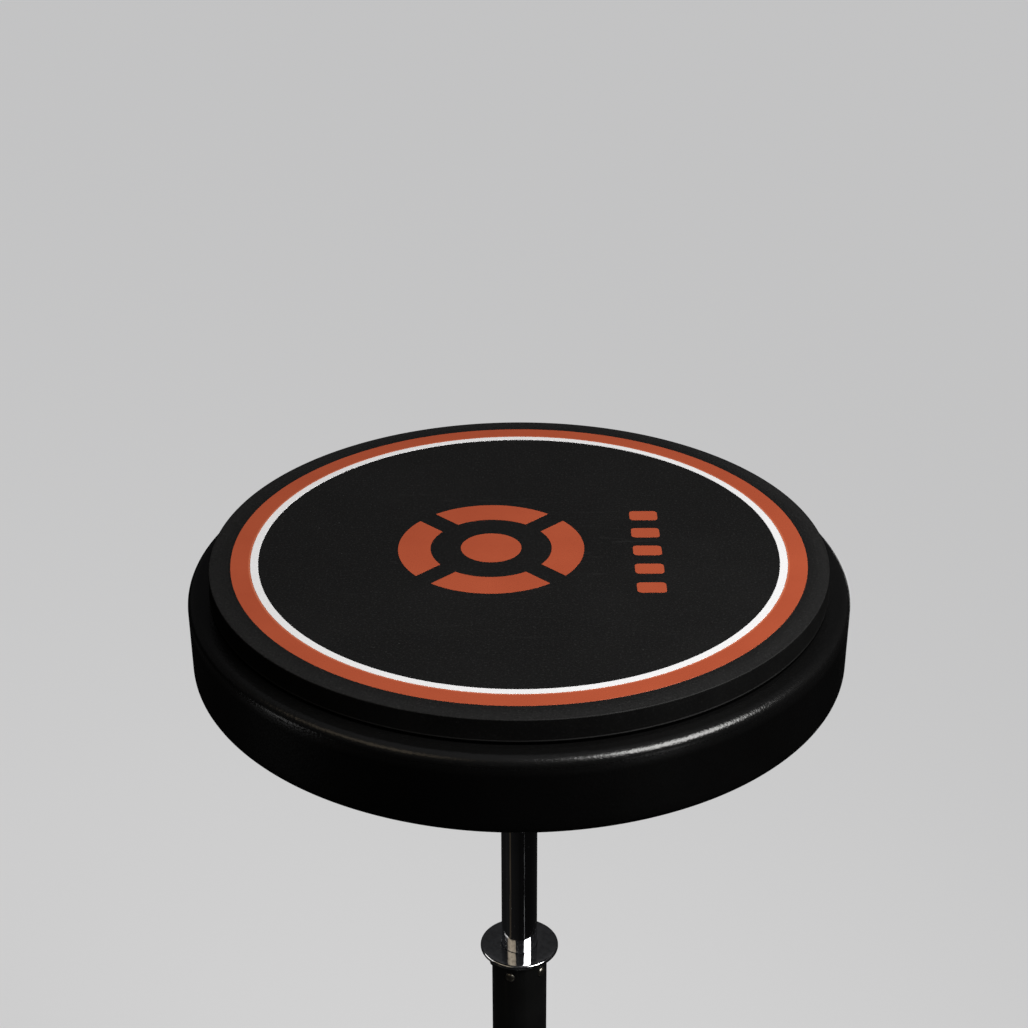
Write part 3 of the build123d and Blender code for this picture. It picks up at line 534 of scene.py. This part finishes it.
def make_chrome():
    s = Shade("chrome", metallic=1.0)
    smear = s.noise(scale=90.0, detail=4.0, rough=0.6)
    drawn = s.streaks((900.0, 900.0, 14.0), detail=4.0, rough=0.65)
    streak = s.streaks((1100.0, 1100.0, 5.0), detail=3.0, rough=0.6)
    scratch = s.ramp(s.streaks((2400.0, 2400.0, 40.0), rough=0.6), span=(0.64, 0.72))
    spot = s.specks(
        900.0, size=(0.10, 0.22), patch_scale=260.0, patch=(0.55, 0.68), detail=2.0
    )
    base = s.mix(s.ramp(smear, span=(0.3, 0.8)), (0.60, 0.605, 0.62), (0.50, 0.505, 0.52))
    dark = s.ramp(streak, span=(0.42, 0.70), to=(0.0, 0.55))
    base = s.mix(dark, base, (0.28, 0.283, 0.295))
    s.set("Base Color", s.mix(spot, base, (0.34, 0.33, 0.32), amount=0.5))
    smeared = s.ramp(smear, span=(0.4, 0.8))
    s.set("Roughness", s.add((smeared, 0.05), (scratch, 0.10), (spot, 0.30), start=0.05))
    s.bump(drawn, distance=0.000012, strength=0.35)
    s.bump(scratch, distance=0.000010, strength=0.25)


def make_paint():
    s = Shade("black_paint")
    cloud = s.noise(scale=60.0, detail=4.0, rough=0.6)
    peel = s.noise(scale=520.0)
    line = s.ramp(s.streaks((1500.0, 1500.0, 9.0)), span=(0.66, 0.74))
    wear = s.times(line, s.ramp(s.noise(scale=35.0), span=(0.45, 0.65)))
    base = s.mix(s.ramp(cloud, span=(0.3, 0.8)), grey(0.0022), grey(0.0036))
    s.set("Base Color", s.mix(wear, base, grey(0.03), amount=0.35))
    s.set("Roughness", s.add((cloud, 0.10), (wear, 0.20), start=0.24))
    s.set("Specular IOR Level", 0.30)
    s.set("Coat Weight", 0.10)
    s.set("Coat Roughness", 0.10)
    s.bump(peel, distance=0.00005, strength=0.4)
    s.bump(s.noise(scale=2400.0), distance=0.00001, strength=0.4)


def make_nylon(name, tone, rough):
    s = Shade(name)
    cloud = s.noise(scale=70.0, detail=4.0, rough=0.6)
    grain = s.noise(scale=1500.0, detail=3.0, rough=0.65)
    flow = s.streaks((120.0, 120.0, 30.0), detail=3.0, rough=0.6, distortion=2.0)
    base = s.mix(s.ramp(cloud, span=(0.3, 0.8)), grey(tone), grey(tone * 1.6))
    base = s.mix(s.ramp(flow, span=(0.55, 0.75)), base, grey(tone * 2.4), amount=0.3)
    s.set("Base Color", base)
    s.set("Roughness", s.add((grain, 0.16), start=rough))
    s.bump(s.cells(1300.0, "SMOOTH_F1"), distance=0.00008, strength=0.35)
    s.bump(grain, distance=0.00004, strength=0.6)


make_rubber_face()
make_ink(
    "ink_white",
    colour=(0.86, 0.86, 0.88),
    dark=(0.81, 0.81, 0.825),
    light=(0.89, 0.89, 0.91),
    pinhole=grey(0.03),
)
make_ink(
    "ink_orange",
    colour=(0.420, 0.080, 0.034),
    dark=(0.385, 0.070, 0.030),
    light=(0.455, 0.090, 0.039),
    pinhole=(0.385, 0.070, 0.030),
    overlap=(0.62, 0.19, 0.10),
)
make_foam()
make_shell()
make_board()
make_rubber()
make_metal("zinc_steel", light=(0.50, 0.495, 0.475), dark=(0.36, 0.355, 0.34), rough=0.28)
make_metal("spring_steel", light=(0.10, 0.10, 0.105), dark=(0.05, 0.05, 0.055), rough=0.32)
make_metal(
    "zinc_cast", light=(0.70, 0.705, 0.71), dark=(0.58, 0.585, 0.59), rough=0.14, spangle=500.0
)
make_chrome()
make_paint()
make_nylon("black_nylon", tone=0.0085, rough=0.36)
make_nylon("nylon_black", tone=0.012, rough=0.42)
make_metal("brass", light=(0.62, 0.46, 0.20), dark=(0.50, 0.36, 0.15), rough=0.24)
# a darker copy of zinc_steel for the neck pins: partly a duller steel, partly painted shade for
# the bush flange's shadow
make_metal("pin_steel", light=(0.30, 0.285, 0.25), dark=(0.16, 0.15, 0.125), rough=0.24)


def paint(obj, material):
    obj.data.materials.clear()
    obj.data.materials.append(MATERIALS[material])


def piece(obj, body, slot_name, node):
    """Gives a new piece its material and its body, and hides the CAD node it stands for."""
    paint(obj, slot_name)
    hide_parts(node)
    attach(obj, body)
    return obj


# CAD nodes that stay get their procedural material
SLOT_OF = {part["node"]: part["material_slot"] for part in frame["record"]["subparts"]}
for node_name, node_obj in NODES.items():
    for slot in node_obj.material_slots:
        slot.link = "OBJECT"
        slot.material = MATERIALS[SLOT_OF[node_name]]
    if not node_obj.material_slots:
        node_obj.data.materials.append(MATERIALS[SLOT_OF[node_name]])


# ----------------------------------------------------------------------------
# Pad head. Profile tables hold (radius, height, fillet).
# ----------------------------------------------------------------------------
def playing_surface():
    """Rubber disc with a thin gap and a lip round its edge."""
    rubber_z = FACE_Z - INK_RISE
    profile = rounded(
        [
            (0.0, SEAM_Z, 0),
            (FACE_R - 0.45 * MM, SEAM_Z, 0),
            (FACE_R - 0.45 * MM, SEAM_Z - 0.28 * MM, 0),
            (FACE_R - 0.12 * MM, SEAM_Z - 0.28 * MM, 0),
            (FACE_R - 0.12 * MM, SEAM_Z + 0.44 * MM, 0.04 * MM),
            (FACE_R + 0.05 * MM, SEAM_Z + 0.48 * MM, 0.05 * MM),
            (FACE_R + 0.08 * MM, SEAM_Z + 0.66 * MM, 0.12 * MM),
            (FACE_R - 0.03 * MM, SEAM_Z + 0.82 * MM, 0.10 * MM),
            (FACE_R - 0.08 * MM, rubber_z - 0.17 * MM, 0.30 * MM),
            (FACE_R - 3.6 * MM, rubber_z, 9.0 * MM),
            (0.0, rubber_z, 0),
        ],
        steps=6,
    )
    return lathe("pad_playing_surface", dense(profile, 6 * MM), segments=288)


piece(playing_surface(), "pad", "rubber_face", "playing_surface")


def ink_ring(name, inner_r, outer_r):
    """A printed ring: a thin film with the slightly uneven edge of screen print."""
    segments = 720
    ragged = 0.012 * MM
    bevel = 0.03 * MM
    film_z = FACE_Z - 0.003 * MM
    foot_z = FACE_Z - INK_RISE - 0.01 * MM
    rows = [
        (inner_r, foot_z),
        (inner_r + bevel, film_z),
        (outer_r - bevel, film_z),
        (outer_r, foot_z),
    ]
    verts, faces = [], []
    for r, z in rows:
        for k in range(segments):
            t = 2 * math.pi * k / segments
            wander = noise.noise(Vector((math.cos(t) * 40, math.sin(t) * 40, r * 4000)))
            edge_r = r + ragged * wander
            verts.append((edge_r * math.cos(t), edge_r * math.sin(t), z))
    for row in range(4):
        faces += band(row * segments, (row + 1) % 4 * segments, segments)
    return finish_mesh(name, verts, faces, sharp=12.0)


WHITE_R = radius("ink_ring_white")
WHITE_WIDTH = 1.8 * MM
ORANGE_R = radius("ink_ring_orange")
white_ring = ink_ring("pad_ring_white", WHITE_R - WHITE_WIDTH, WHITE_R)
piece(white_ring, "pad", "ink_white", "ink_ring_white")
piece(ink_ring("pad_ring_orange", WHITE_R, ORANGE_R), "pad", "ink_orange", "ink_ring_orange")


def body_shell():
    """Moulded shell: shoulder, rounded rim, drafted side, rounded lip."""
    outer_r = radius("body_shell")
    low_z = low("body_shell")
    seat_z = SEAM_Z - 0.02 * MM
    shoulder_z = SEAM_Z - 0.3 * MM
    under_z = top("body_shell") - 4.1 * MM
    opening_r = 64.0 * MM
    inner_r = 72.0 * MM
    profile = rounded(
        [
            (opening_r, seat_z, 0),
            (FACE_R - 0.5 * MM, seat_z, 0),
            (FACE_R - 0.5 * MM, shoulder_z, 0),
            (outer_r, shoulder_z - 0.02 * MM, 2.2 * MM),
            (outer_r - 0.2 * MM, low_z, 3.0 * MM),
            (inner_r, low_z, 0.5 * MM),
            (inner_r, MAT_TOP, 0),
            (inner_r, under_z, 0),
            (opening_r, under_z, 0),
        ],
        steps=8,
    )

    def uneven(r, z, t):
        """A few hundredths of a millimetre of moulding unevenness round the rim."""
        if r < inner_r + 0.5 * MM:
            return r, z
        broad = noise.noise(Vector((math.cos(t) * 7.0, math.sin(t) * 7.0, z * 260.0)))
        tight = noise.noise(Vector((math.cos(t) * 23.0, math.sin(t) * 23.0, z * 700.0 + 9.0)))
        shift = (0.012 * broad + 0.004 * tight - 0.014) * MM
        return r + shift, z + shift * 0.3

    return lathe(
        "pad_body_shell", dense(profile, 2.2 * MM), segments=360, warp=uneven, sharp=50.0
    )


piece(body_shell(), "pad", "shell_plastic", "body_shell")


def studded_mat():
    """Non-slip mat: rings of round studs between two plain bands."""
    low_z = low("base_mat")
    outer_r = radius("base_mat")
    inner_r = 24.0 * MM
    floor_z = low_z + 0.9 * MM  # underside between the bands
    root_z = floor_z + 0.05 * MM  # the studs start inside the body
    profile = rounded(
        [
            (inner_r, MAT_TOP, 0.2 * MM),
            (inner_r, low_z, 0.5 * MM),
            (inner_r + 3.0 * MM, low_z, 0.5 * MM),
            (inner_r + 3.4 * MM, floor_z, 0.3 * MM),
            (outer_r - 4.4 * MM, floor_z, 0.3 * MM),
            (outer_r - 4.0 * MM, low_z, 0.5 * MM),
            (outer_r, low_z, 0.8 * MM),
            (outer_r, MAT_TOP, 0.2 * MM),
        ],
        steps=4,
    )
    body = lathe("pad_base_mat_body", dense(profile, 4 * MM), segments=200)

    sides = 12
    stud_pitch = 4.3 * MM  # along a ring
    row_pitch = 4.05 * MM  # from ring to ring
    # (radius, drop below the root), in mm
    stud_rings = [(1.35, 0.0), (1.25, 0.517), (1.02, 0.7708), (0.6, 0.846)]
    verts, faces = [], []
    row_r = inner_r + 6.0 * MM
    row = 0
    while row_r < outer_r - 6.4 * MM:
        count = int(2 * math.pi * row_r / stud_pitch)
        for k in range(count):
            t = 2 * math.pi * (k + 0.5 * (row % 2)) / count
            x, y = row_r * math.cos(t), row_r * math.sin(t)
            start = len(verts)
            for ring_r, drop in stud_rings:
                for q in range(sides):
                    u = 2 * math.pi * q / sides
                    verts.append(
                        (
                            x + ring_r * MM * math.cos(u),
                            y + ring_r * MM * math.sin(u),
                            root_z - drop * MM,
                        )
                    )
            for ring in (start, start + sides, start + 2 * sides):
                above = ring + sides
                for q in range(sides):
                    w = (q + 1) % sides
                    faces.append((ring + q, ring + w, above + w, above + q))
            faces.append(tuple(start + 3 * sides + q for q in range(sides)))
            faces.append(tuple(start + q for q in reversed(range(sides))))
        row_r += row_pitch
        row += 1
    studs = finish_mesh("pad_base_mat_studs", verts, faces, sharp=50.0)
    return join_into("pad_base_mat", [body, studs])


piece(studded_mat(), "pad", "rubber_black", "base_mat")


def cross_screw(name, matrix):
    """Countersunk screw with a cross recess; local +Z points out of the head."""
    head_r = 3.3 * MM
    recess_depth = 1.3 * MM
    shank_r = 1.6 * MM
    shank_length = 9.0 * MM
    rings, segments = 26, 96
    arm_width, arm_length = head_r * 0.15, head_r * 0.62
    verts, faces = [], []
    for i in range(rings + 1):
        r = head_r * (1 - i / rings)
        for k in range(segments):
            t = 2 * math.pi * k / segments
            x, y = r * math.cos(t), r * math.sin(t)
            along, across = max(abs(x), abs(y)), min(abs(x), abs(y))
            half_width = arm_width * (1.0 + 0.5 * (1 - along / arm_length))
            inside = min(half_width - across, arm_length - along)
            cut = max(0.0, min(1.0, inside / (0.05 * head_r) + 0.5))
            # the recess gets shallower towards the ends of its arms
            fall = 1.0 - 0.45 * along / arm_length if along < arm_length else 0.5
            verts.append(Vector((x, y, -cut * recess_depth * fall)))
    for ring in range(0, rings * segments, segments):
        further = ring + segments
        for k in range(segments):
            j = (k + 1) % segments
            faces.append((ring + k, ring + j, further + j, further + k))
    last = 0  # the shank carries on from the rim of the head
    for r, z in (
        (head_r, -0.12 * MM),
        (shank_r, -(head_r - shank_r) - 0.1 * MM),
        (shank_r, -shank_length),
    ):
        start = len(verts)
        for k in range(segments):
            t = 2 * math.pi * k / segments
            verts.append(Vector((r * math.cos(t), r * math.sin(t), z)))
        faces += band(last, start, segments)
        last = start
    tip = len(verts)
    verts.append(Vector((0, 0, -shank_length - shank_r)))
    for k in range(segments):
        faces.append((last + k, tip, last + (k + 1) % segments))
    return finish_mesh(name, [matrix @ v for v in verts], faces, sharp=35.0)


def plate_screws():
    circle_r = 15.5 * MM
    head_z = low("mount_plate") + 0.05 * MM
    screws = []
    for k in range(4):
        t = math.radians(45 + 90 * k)
        origin = (circle_r * math.cos(t), circle_r * math.sin(t), head_z)
        turned = t + 0.4 * k  # each recess stands at its own angle
        matrix = axes_matrix(origin, (0, 0, -1), (math.cos(turned), math.sin(turned), 0))
        screws.append(cross_screw(f"s{k}", matrix))
    return join_into("pad_plate_screws", screws)


piece(plate_screws(), "pad", "zinc_steel", "plate_screws")


def knurled_nut():
    low_z, top_z = low("lock_nut"), top("lock_nut")
    outer_r = 9.0 * MM
    collar_r = outer_r - 0.8 * MM
    bore_r = 4.03 * MM
    tooth_count = 24
    tooth_depth = 0.55 * MM
    root_r = outer_r - 0.7 * MM  # the knurl fades in outside this radius
    profile = rounded(
        [
            (bore_r, low_z, 0.3 * MM),
            (outer_r - 1.0 * MM, low_z, 0.3 * MM),
            (outer_r, low_z + 1.0 * MM, 0.3 * MM),
            (outer_r, top_z - 2.2 * MM, 0.25 * MM),
            (collar_r, top_z - 1.4 * MM, 0.2 * MM),
            (collar_r, top_z, 0.2 * MM),
            (bore_r, top_z, 0.3 * MM),
        ],
        steps=5,
    )

    def knurl(r, z, t):
        if r < root_r or z > top_z - 1.9 * MM:
            return r, z
        tooth = 0.5 + 0.5 * math.cos(tooth_count * t)
        fade = min(1.0, max(0.0, (r - root_r) / (0.5 * MM)))
        return r - tooth_depth * tooth**2 * fade, z

    return lathe("nut_knurled", dense(profile, 0.45 * MM), segments=384, warp=knurl, sharp=40.0)


piece(knurled_nut(), "lock_nut_set", "chrome", "lock_nut")


# ----------------------------------------------------------------------------
# Post
# ----------------------------------------------------------------------------
def neck_pins():
    """Five domed, slightly flattened pins round the neck of the middle tube."""
    lo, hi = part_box("bush_pins")
    z = (lo[2] + hi[2]) / 2
    pin_r = (hi[2] - lo[2]) / 2
    tube_r = radius("mid_tube")
    reach = max(abs(lo[0]), abs(lo[1]), abs(hi[0]), abs(hi[1]))
    rise = reach - tube_r - 0.02 * MM
    root = -1.7 * MM
    profile = [(0.0, root), (pin_r * 0.97, root), (pin_r * 0.98, -0.05 * MM), (pin_r, 0.0)]
    for k in range(1, 8):
        t = k / 8 * math.pi / 2
        profile.append((pin_r * math.cos(t) ** 0.8, rise * math.sin(t)))
    profile.append((0.0, rise))
    pins = []
    for k in range(5):
        t = math.radians(-110.0 + 72.0 * k)
        out = (math.cos(t), math.sin(t), 0)
        matrix = axes_matrix((tube_r * out[0], tube_r * out[1], z), out, (0, 0, 1))
        pins.append(lathe(f"pin{k}", profile, segments=40, matrix=matrix))
    return join_into("post_neck_pins", pins)


# the pins are first given zinc_steel, then painted over with the darker pin_steel
# pin_steel is partly a duller steel and partly painted shade for the bush flange's shadow over
# the pins
paint(piece(neck_pins(), "mid_post", "zinc_steel", "bush_pins"), "pin_steel")


def flanged_bush():
    """A flat disc with a rolled rim on a short spigot inside the tube."""
    low_z, top_z = low("flange_bush"), top("flange_bush")
    flange_r = radius("flange_bush")
    bore_r = radius("top_rod") + 0.06 * MM
    spigot_r = 5.77 * MM
    under_z = top_z - 1.15 * MM
    profile = rounded(
        [
            (bore_r, low_z, 0.1 * MM),
            (spigot_r, low_z, 0.4 * MM),
            (spigot_r, under_z, 0.1 * MM),
            (flange_r, under_z, 0.40 * MM),
            (flange_r, top_z - 0.03 * MM, 0.62 * MM),
            (bore_r + 1.6 * MM, top_z, 1.2 * MM),
            (bore_r, top_z, 0.12 * MM),
        ],
        steps=9,
    )
    return lathe("post_flanged_bush", dense(profile, 1.5 * MM), segments=256, sharp=40.0)


piece(flanged_bush(), "mid_post", "chrome", "flange_bush")

# ----------------------------------------------------------------------------
# Moulded and cast pieces of the stand
# ----------------------------------------------------------------------------
VOXEL = 0.32 * MM
# (piece, CAD node, body, slot, voxel size, smoothing rounds)
CASTINGS = [
    ("stand_leg_hub", "leg_hub", "base", "black_nylon", VOXEL, 6),
    ("stand_clamp_collar", "clamp_collar", "base", "black_nylon", VOXEL, 6),
    ("stand_wing_knob", "wing_knob", "wing_screw", "zinc_cast", VOXEL * 0.75, 6),
]
for i, leg in enumerate(("leg_one", "leg_two", "leg_three"), 1):
    CASTINGS += [
        (f"{leg}_foot", f"leg_foot_{i}", leg, "rubber_black", VOXEL, 5),
        (f"{leg}_eye", f"leg_eye_{i}", leg, "black_nylon", VOXEL, 4),
    ]
for name, node, body, slot_name, voxel, rounds in CASTINGS:
    piece(cast_copy(name, node, voxel, rounds), body, slot_name, node)


# ----------------------------------------------------------------------------
# Camera, floor, world
# ----------------------------------------------------------------------------
def camera():
    data = bpy.data.cameras.new("camera")
    data.sensor_width = 36.0
    data.lens = 72.789689
    data.clip_start, data.clip_end = 0.01, 50.0
    data.shift_x = -0.000875486
    obj = link(bpy.data.objects.new("camera", data))
    pitch, roll = math.radians(27.347), math.radians(-0.127)  # pitch is downward
    backward = (0, -math.cos(pitch), math.sin(pitch))
    place = axes_matrix((-0.00090, -0.42144, FACE_Z + 0.22746), backward, (1, 0, 0))
    obj.matrix_world = place @ Matrix.Rotation(roll, 4, "Z")
    bpy.context.scene.camera = obj


def floor():
    bm = bmesh.new()
    bmesh.ops.create_grid(bm, x_segments=1, y_segments=1, size=30.0)
    mesh = bpy.data.meshes.new("floor")
    bm.to_mesh(mesh)
    bm.free()
    obj = link(bpy.data.objects.new("floor", mesh))
    s = Shade("floor")
    cloud = s.noise(scale=1.2, detail=3.0)
    # the camera sees an even pale floor; the object itself sees it as if dark
    # flags stood all round, so that black and mirror-like pieces stay dark
    seen = s.node("ShaderNodeLightPath").outputs["Is Camera Ray"]
    pale = s.mix(cloud, (0.29, 0.29, 0.292), (0.31, 0.31, 0.312))
    s.set("Base Color", s.mix(seen, (0.035, 0.035, 0.036), pale))
    s.set("Emission Color", (0.52, 0.52, 0.523))
    s.set("Emission Strength", seen)
    s.set("Roughness", 0.85)
    s.set("Specular IOR Level", 0.05)
    s.bump(s.noise(scale=900.0), distance=0.00005, strength=0.2)
    # from below the floor is clear, so the underside can be looked at
    clear = s.node("ShaderNodeBsdfTransparent")
    both = s.node("ShaderNodeMixShader")
    below = s.node("ShaderNodeNewGeometry").outputs["Backfacing"]
    for socket, value in zip(both.inputs, (below, s.bsdf.outputs[0], clear.outputs[0])):
        s.put(socket, value)
    s.put(s.out.inputs["Surface"], both.outputs[0])
    mesh.materials.append(s.mat)


def studio_world():
    """A dim room, brighter overhead."""
    world = bpy.data.worlds.new("studio")
    bpy.context.scene.world = world
    world.use_nodes = True
    nodes, links = world.node_tree.nodes, world.node_tree.links
    nodes.clear()
    out = nodes.new("ShaderNodeOutputWorld")
    background = nodes.new("ShaderNodeBackground")
    links.new(background.outputs[0], out.inputs[0])
    coord = nodes.new("ShaderNodeTexCoord")
    split = nodes.new("ShaderNodeSeparateXYZ")
    links.new(coord.outputs["Generated"], split.inputs[0])
    ramp = nodes.new("ShaderNodeValToRGB")
    dim, bright = ramp.color_ramp.elements
    dim.position = 0.63
    dim.color = (0.030, 0.030, 0.031, 1)
    bright.position = 0.95
    bright.color = (0.17, 0.17, 0.175, 1)
    links.new(split.outputs[2], ramp.inputs[0])
    # the camera sees one plain pale tone behind the object
    path = nodes.new("ShaderNodeLightPath")
    mix = nodes.new("ShaderNodeMix")
    mix.data_type = "RGBA"
    links.new(path.outputs["Is Camera Ray"], mix.inputs[0])
    links.new(ramp.outputs[0], mix.inputs[6])
    mix.inputs[7].default_value = (0.60, 0.60, 0.605, 1)
    links.new(mix.outputs[2], background.inputs[0])


# ----------------------------------------------------------------------------
# Lights. Azimuth is in degrees from +X towards +Y.
# ----------------------------------------------------------------------------
def area(name, matrix, size, power, tint=(1, 1, 1), spread=180.0, seen=False, lit=None):
    """Rectangular light; `lit` is the collection it lights, or None for everything."""
    data = bpy.data.lights.new(name, "AREA")
    data.shape = "RECTANGLE"
    data.size, data.size_y = size
    data.energy = power
    data.color = tint
    data.spread = math.radians(spread)
    obj = link(bpy.data.objects.new(name, data))
    obj.matrix_world = matrix
    obj.visible_camera = seen
    if lit:
        obj.light_linking.receiver_collection = lit


def around(azimuth, rise, distance, height):
    """A point seen from the post axis at `height`, in the given direction."""
    a, e = math.radians(azimuth), math.radians(rise)
    level = distance * math.cos(e)
    return (level * math.cos(a), level * math.sin(a), height + distance * math.sin(e))


def aimed(location, target):
    direction = (Vector(target) - Vector(location)).normalized()
    return axes_matrix(location, -direction, Vector((0, 0, 1)).cross(direction))


def lying(azimuth, distance, height):
    """Flat by the floor and shining up, with its length pointing away from the post."""
    a = math.radians(azimuth)
    spot = around(azimuth, 0.0, distance, height)
    return axes_matrix(spot, (0, 0, -1), (math.cos(a), math.sin(a), 0))


def lit_group(name, nodes, pieces):
    group = bpy.data.collections.new(name)
    for obj in [NODES[n] for n in nodes] + [bpy.data.objects[p] for p in pieces]:
        group.objects.link(obj)
    return group


def pad_lights():
    # wide key from the front right
    key_target = (0.040, -0.016, FACE_Z - 0.01)
    key = aimed(around(-35.0, 37.0, 0.60, FACE_Z), key_target)
    area("key", key, (0.42, 0.32), power=1.34, tint=(1.0, 0.99, 0.97), spread=80.0, seen=True)
    # weak warm card from the front left
    card = aimed(around(-143.0, 38.0, 0.90, FACE_Z), (0.0, 0.0, FACE_Z - 0.01))
    area("card", card, (0.80, 0.30), power=0.20, tint=(1.0, 0.83, 0.60), spread=100.0, seen=True)
    # two low strips by the floor in front: (azimuth, width, power, tint)
    for azimuth, width, power, tint in (
        (-57.0, 0.016, 0.0045, (1, 1, 1)),
        (-150.0, 0.075, 0.0035, (1.0, 0.76, 0.46)),
    ):
        strip = lying(azimuth, distance=0.52, height=0.004)
        area(f"strip {azimuth:.0f}", strip, (0.34, width), power=power, tint=tint)
    # a small card at the left that only shows as a line along the bush's rim
    collar_lit = lit_group("collar_lit", [], ["post_flanged_bush"])
    bush_z = FACE_Z - 0.114
    place = aimed(around(176.0, 24.0, 0.60, bush_z), (0.0, 0.0, bush_z))
    area("collar card", place, (0.34, 0.24), power=0.60, tint=(1.0, 0.97, 0.92), lit=collar_lit)


def stand_lights():
    stand_nodes = (
        "lower_tube post_end_plug clamp_collar collar_rivet tube_bushing clamp_shoe "
        "clamp_bolt wing_knob leg_hub hub_set_screw pivot_bolts pivot_washers pivot_nuts "
        "mid_tube mid_guide_ring"
    ).split() + [f"leg_{part}_{i}" for part in ("eye", "tube", "foot") for i in (1, 2, 3)]
    stand_pieces = ["stand_leg_hub", "stand_clamp_collar", "stand_wing_knob"] + [
        f"leg_{count}_{part}" for part in ("foot", "eye") for count in ("one", "two", "three")
    ]
    low_nodes = [n for n in stand_nodes if n != "mid_tube"]
    stand_lit = lit_group("stand_lit", stand_nodes, stand_pieces)
    stand_low_lit = lit_group("stand_low_lit", low_nodes, stand_pieces)
    under_lit = lit_group(
        "under_lit",
        ["mount_plate", "lock_washer", "core_board"],
        ["pad_base_mat", "pad_plate_screws", "nut_knurled"],
    )

    # soft boxes for the stand: (name, azimuth, rise, distance, size, power, tint)
    hub_z = 0.17
    for name, azimuth, rise, distance, size, power, tint in (
        ("stand key", -52.0, 30.0, 1.10, (0.50, 0.70), 5.5, (1, 1, 1)),
        ("stand fill", 160.0, 18.0, 1.20, (0.40, 0.80), 2.4, (0.95, 0.97, 1.0)),
        ("stand rim", 55.0, 24.0, 1.20, (0.30, 0.80), 2.4, (1, 1, 1)),
    ):
        place = aimed(around(azimuth, rise, distance, hub_z), (0.0, 0.0, hub_z))
        area(name, place, size, power=power, tint=tint, lit=stand_lit)
    place = aimed((0.10, -0.12, 0.01), (0.0, 0.0, 0.40))
    area("under pad", place, (0.50, 0.50), power=3.5, lit=under_lit)

    # tall narrow boxes that show as lines in the chrome from the side
    post_nodes = ["top_rod", "mid_tube"]
    post_lit = lit_group("post_lit", post_nodes, ["nut_knurled", "pad_body_shell"])
    chrome_lit = lit_group("chrome_lit", post_nodes, ["nut_knurled"])
    box_z = 0.47
    for azimuth, width in ((-22.0, 0.09), (100.0, 0.12), (214.0, 0.07)):
        place = aimed(around(azimuth, 0.0, 0.88, box_z), (0.0, 0.0, box_z))
        size = (width, 0.90)
        area(f"post box {azimuth:.0f}", place, size, power=3.2 * width, lit=chrome_lit)

    # cards lying by the floor that the round tubes reflect as long soft lines
    for azimuth in (-38.0, 72.0, 196.0):
        near = lying(azimuth, distance=0.80, height=0.003)
        far = lying(azimuth - 6.0, distance=1.45, height=0.003)
        area(f"stand card {azimuth:.0f}", near, (0.90, 0.12), power=1.7, lit=stand_low_lit)
        area(f"post card {azimuth:.0f}", far, (1.20, 0.20), power=0.9, lit=post_lit)


camera()
floor()
studio_world()
pad_lights()
stand_lights()
bpy.context.scene.view_settings.view_transform = "Standard"
bpy.context.scene.view_settings.look = "None"
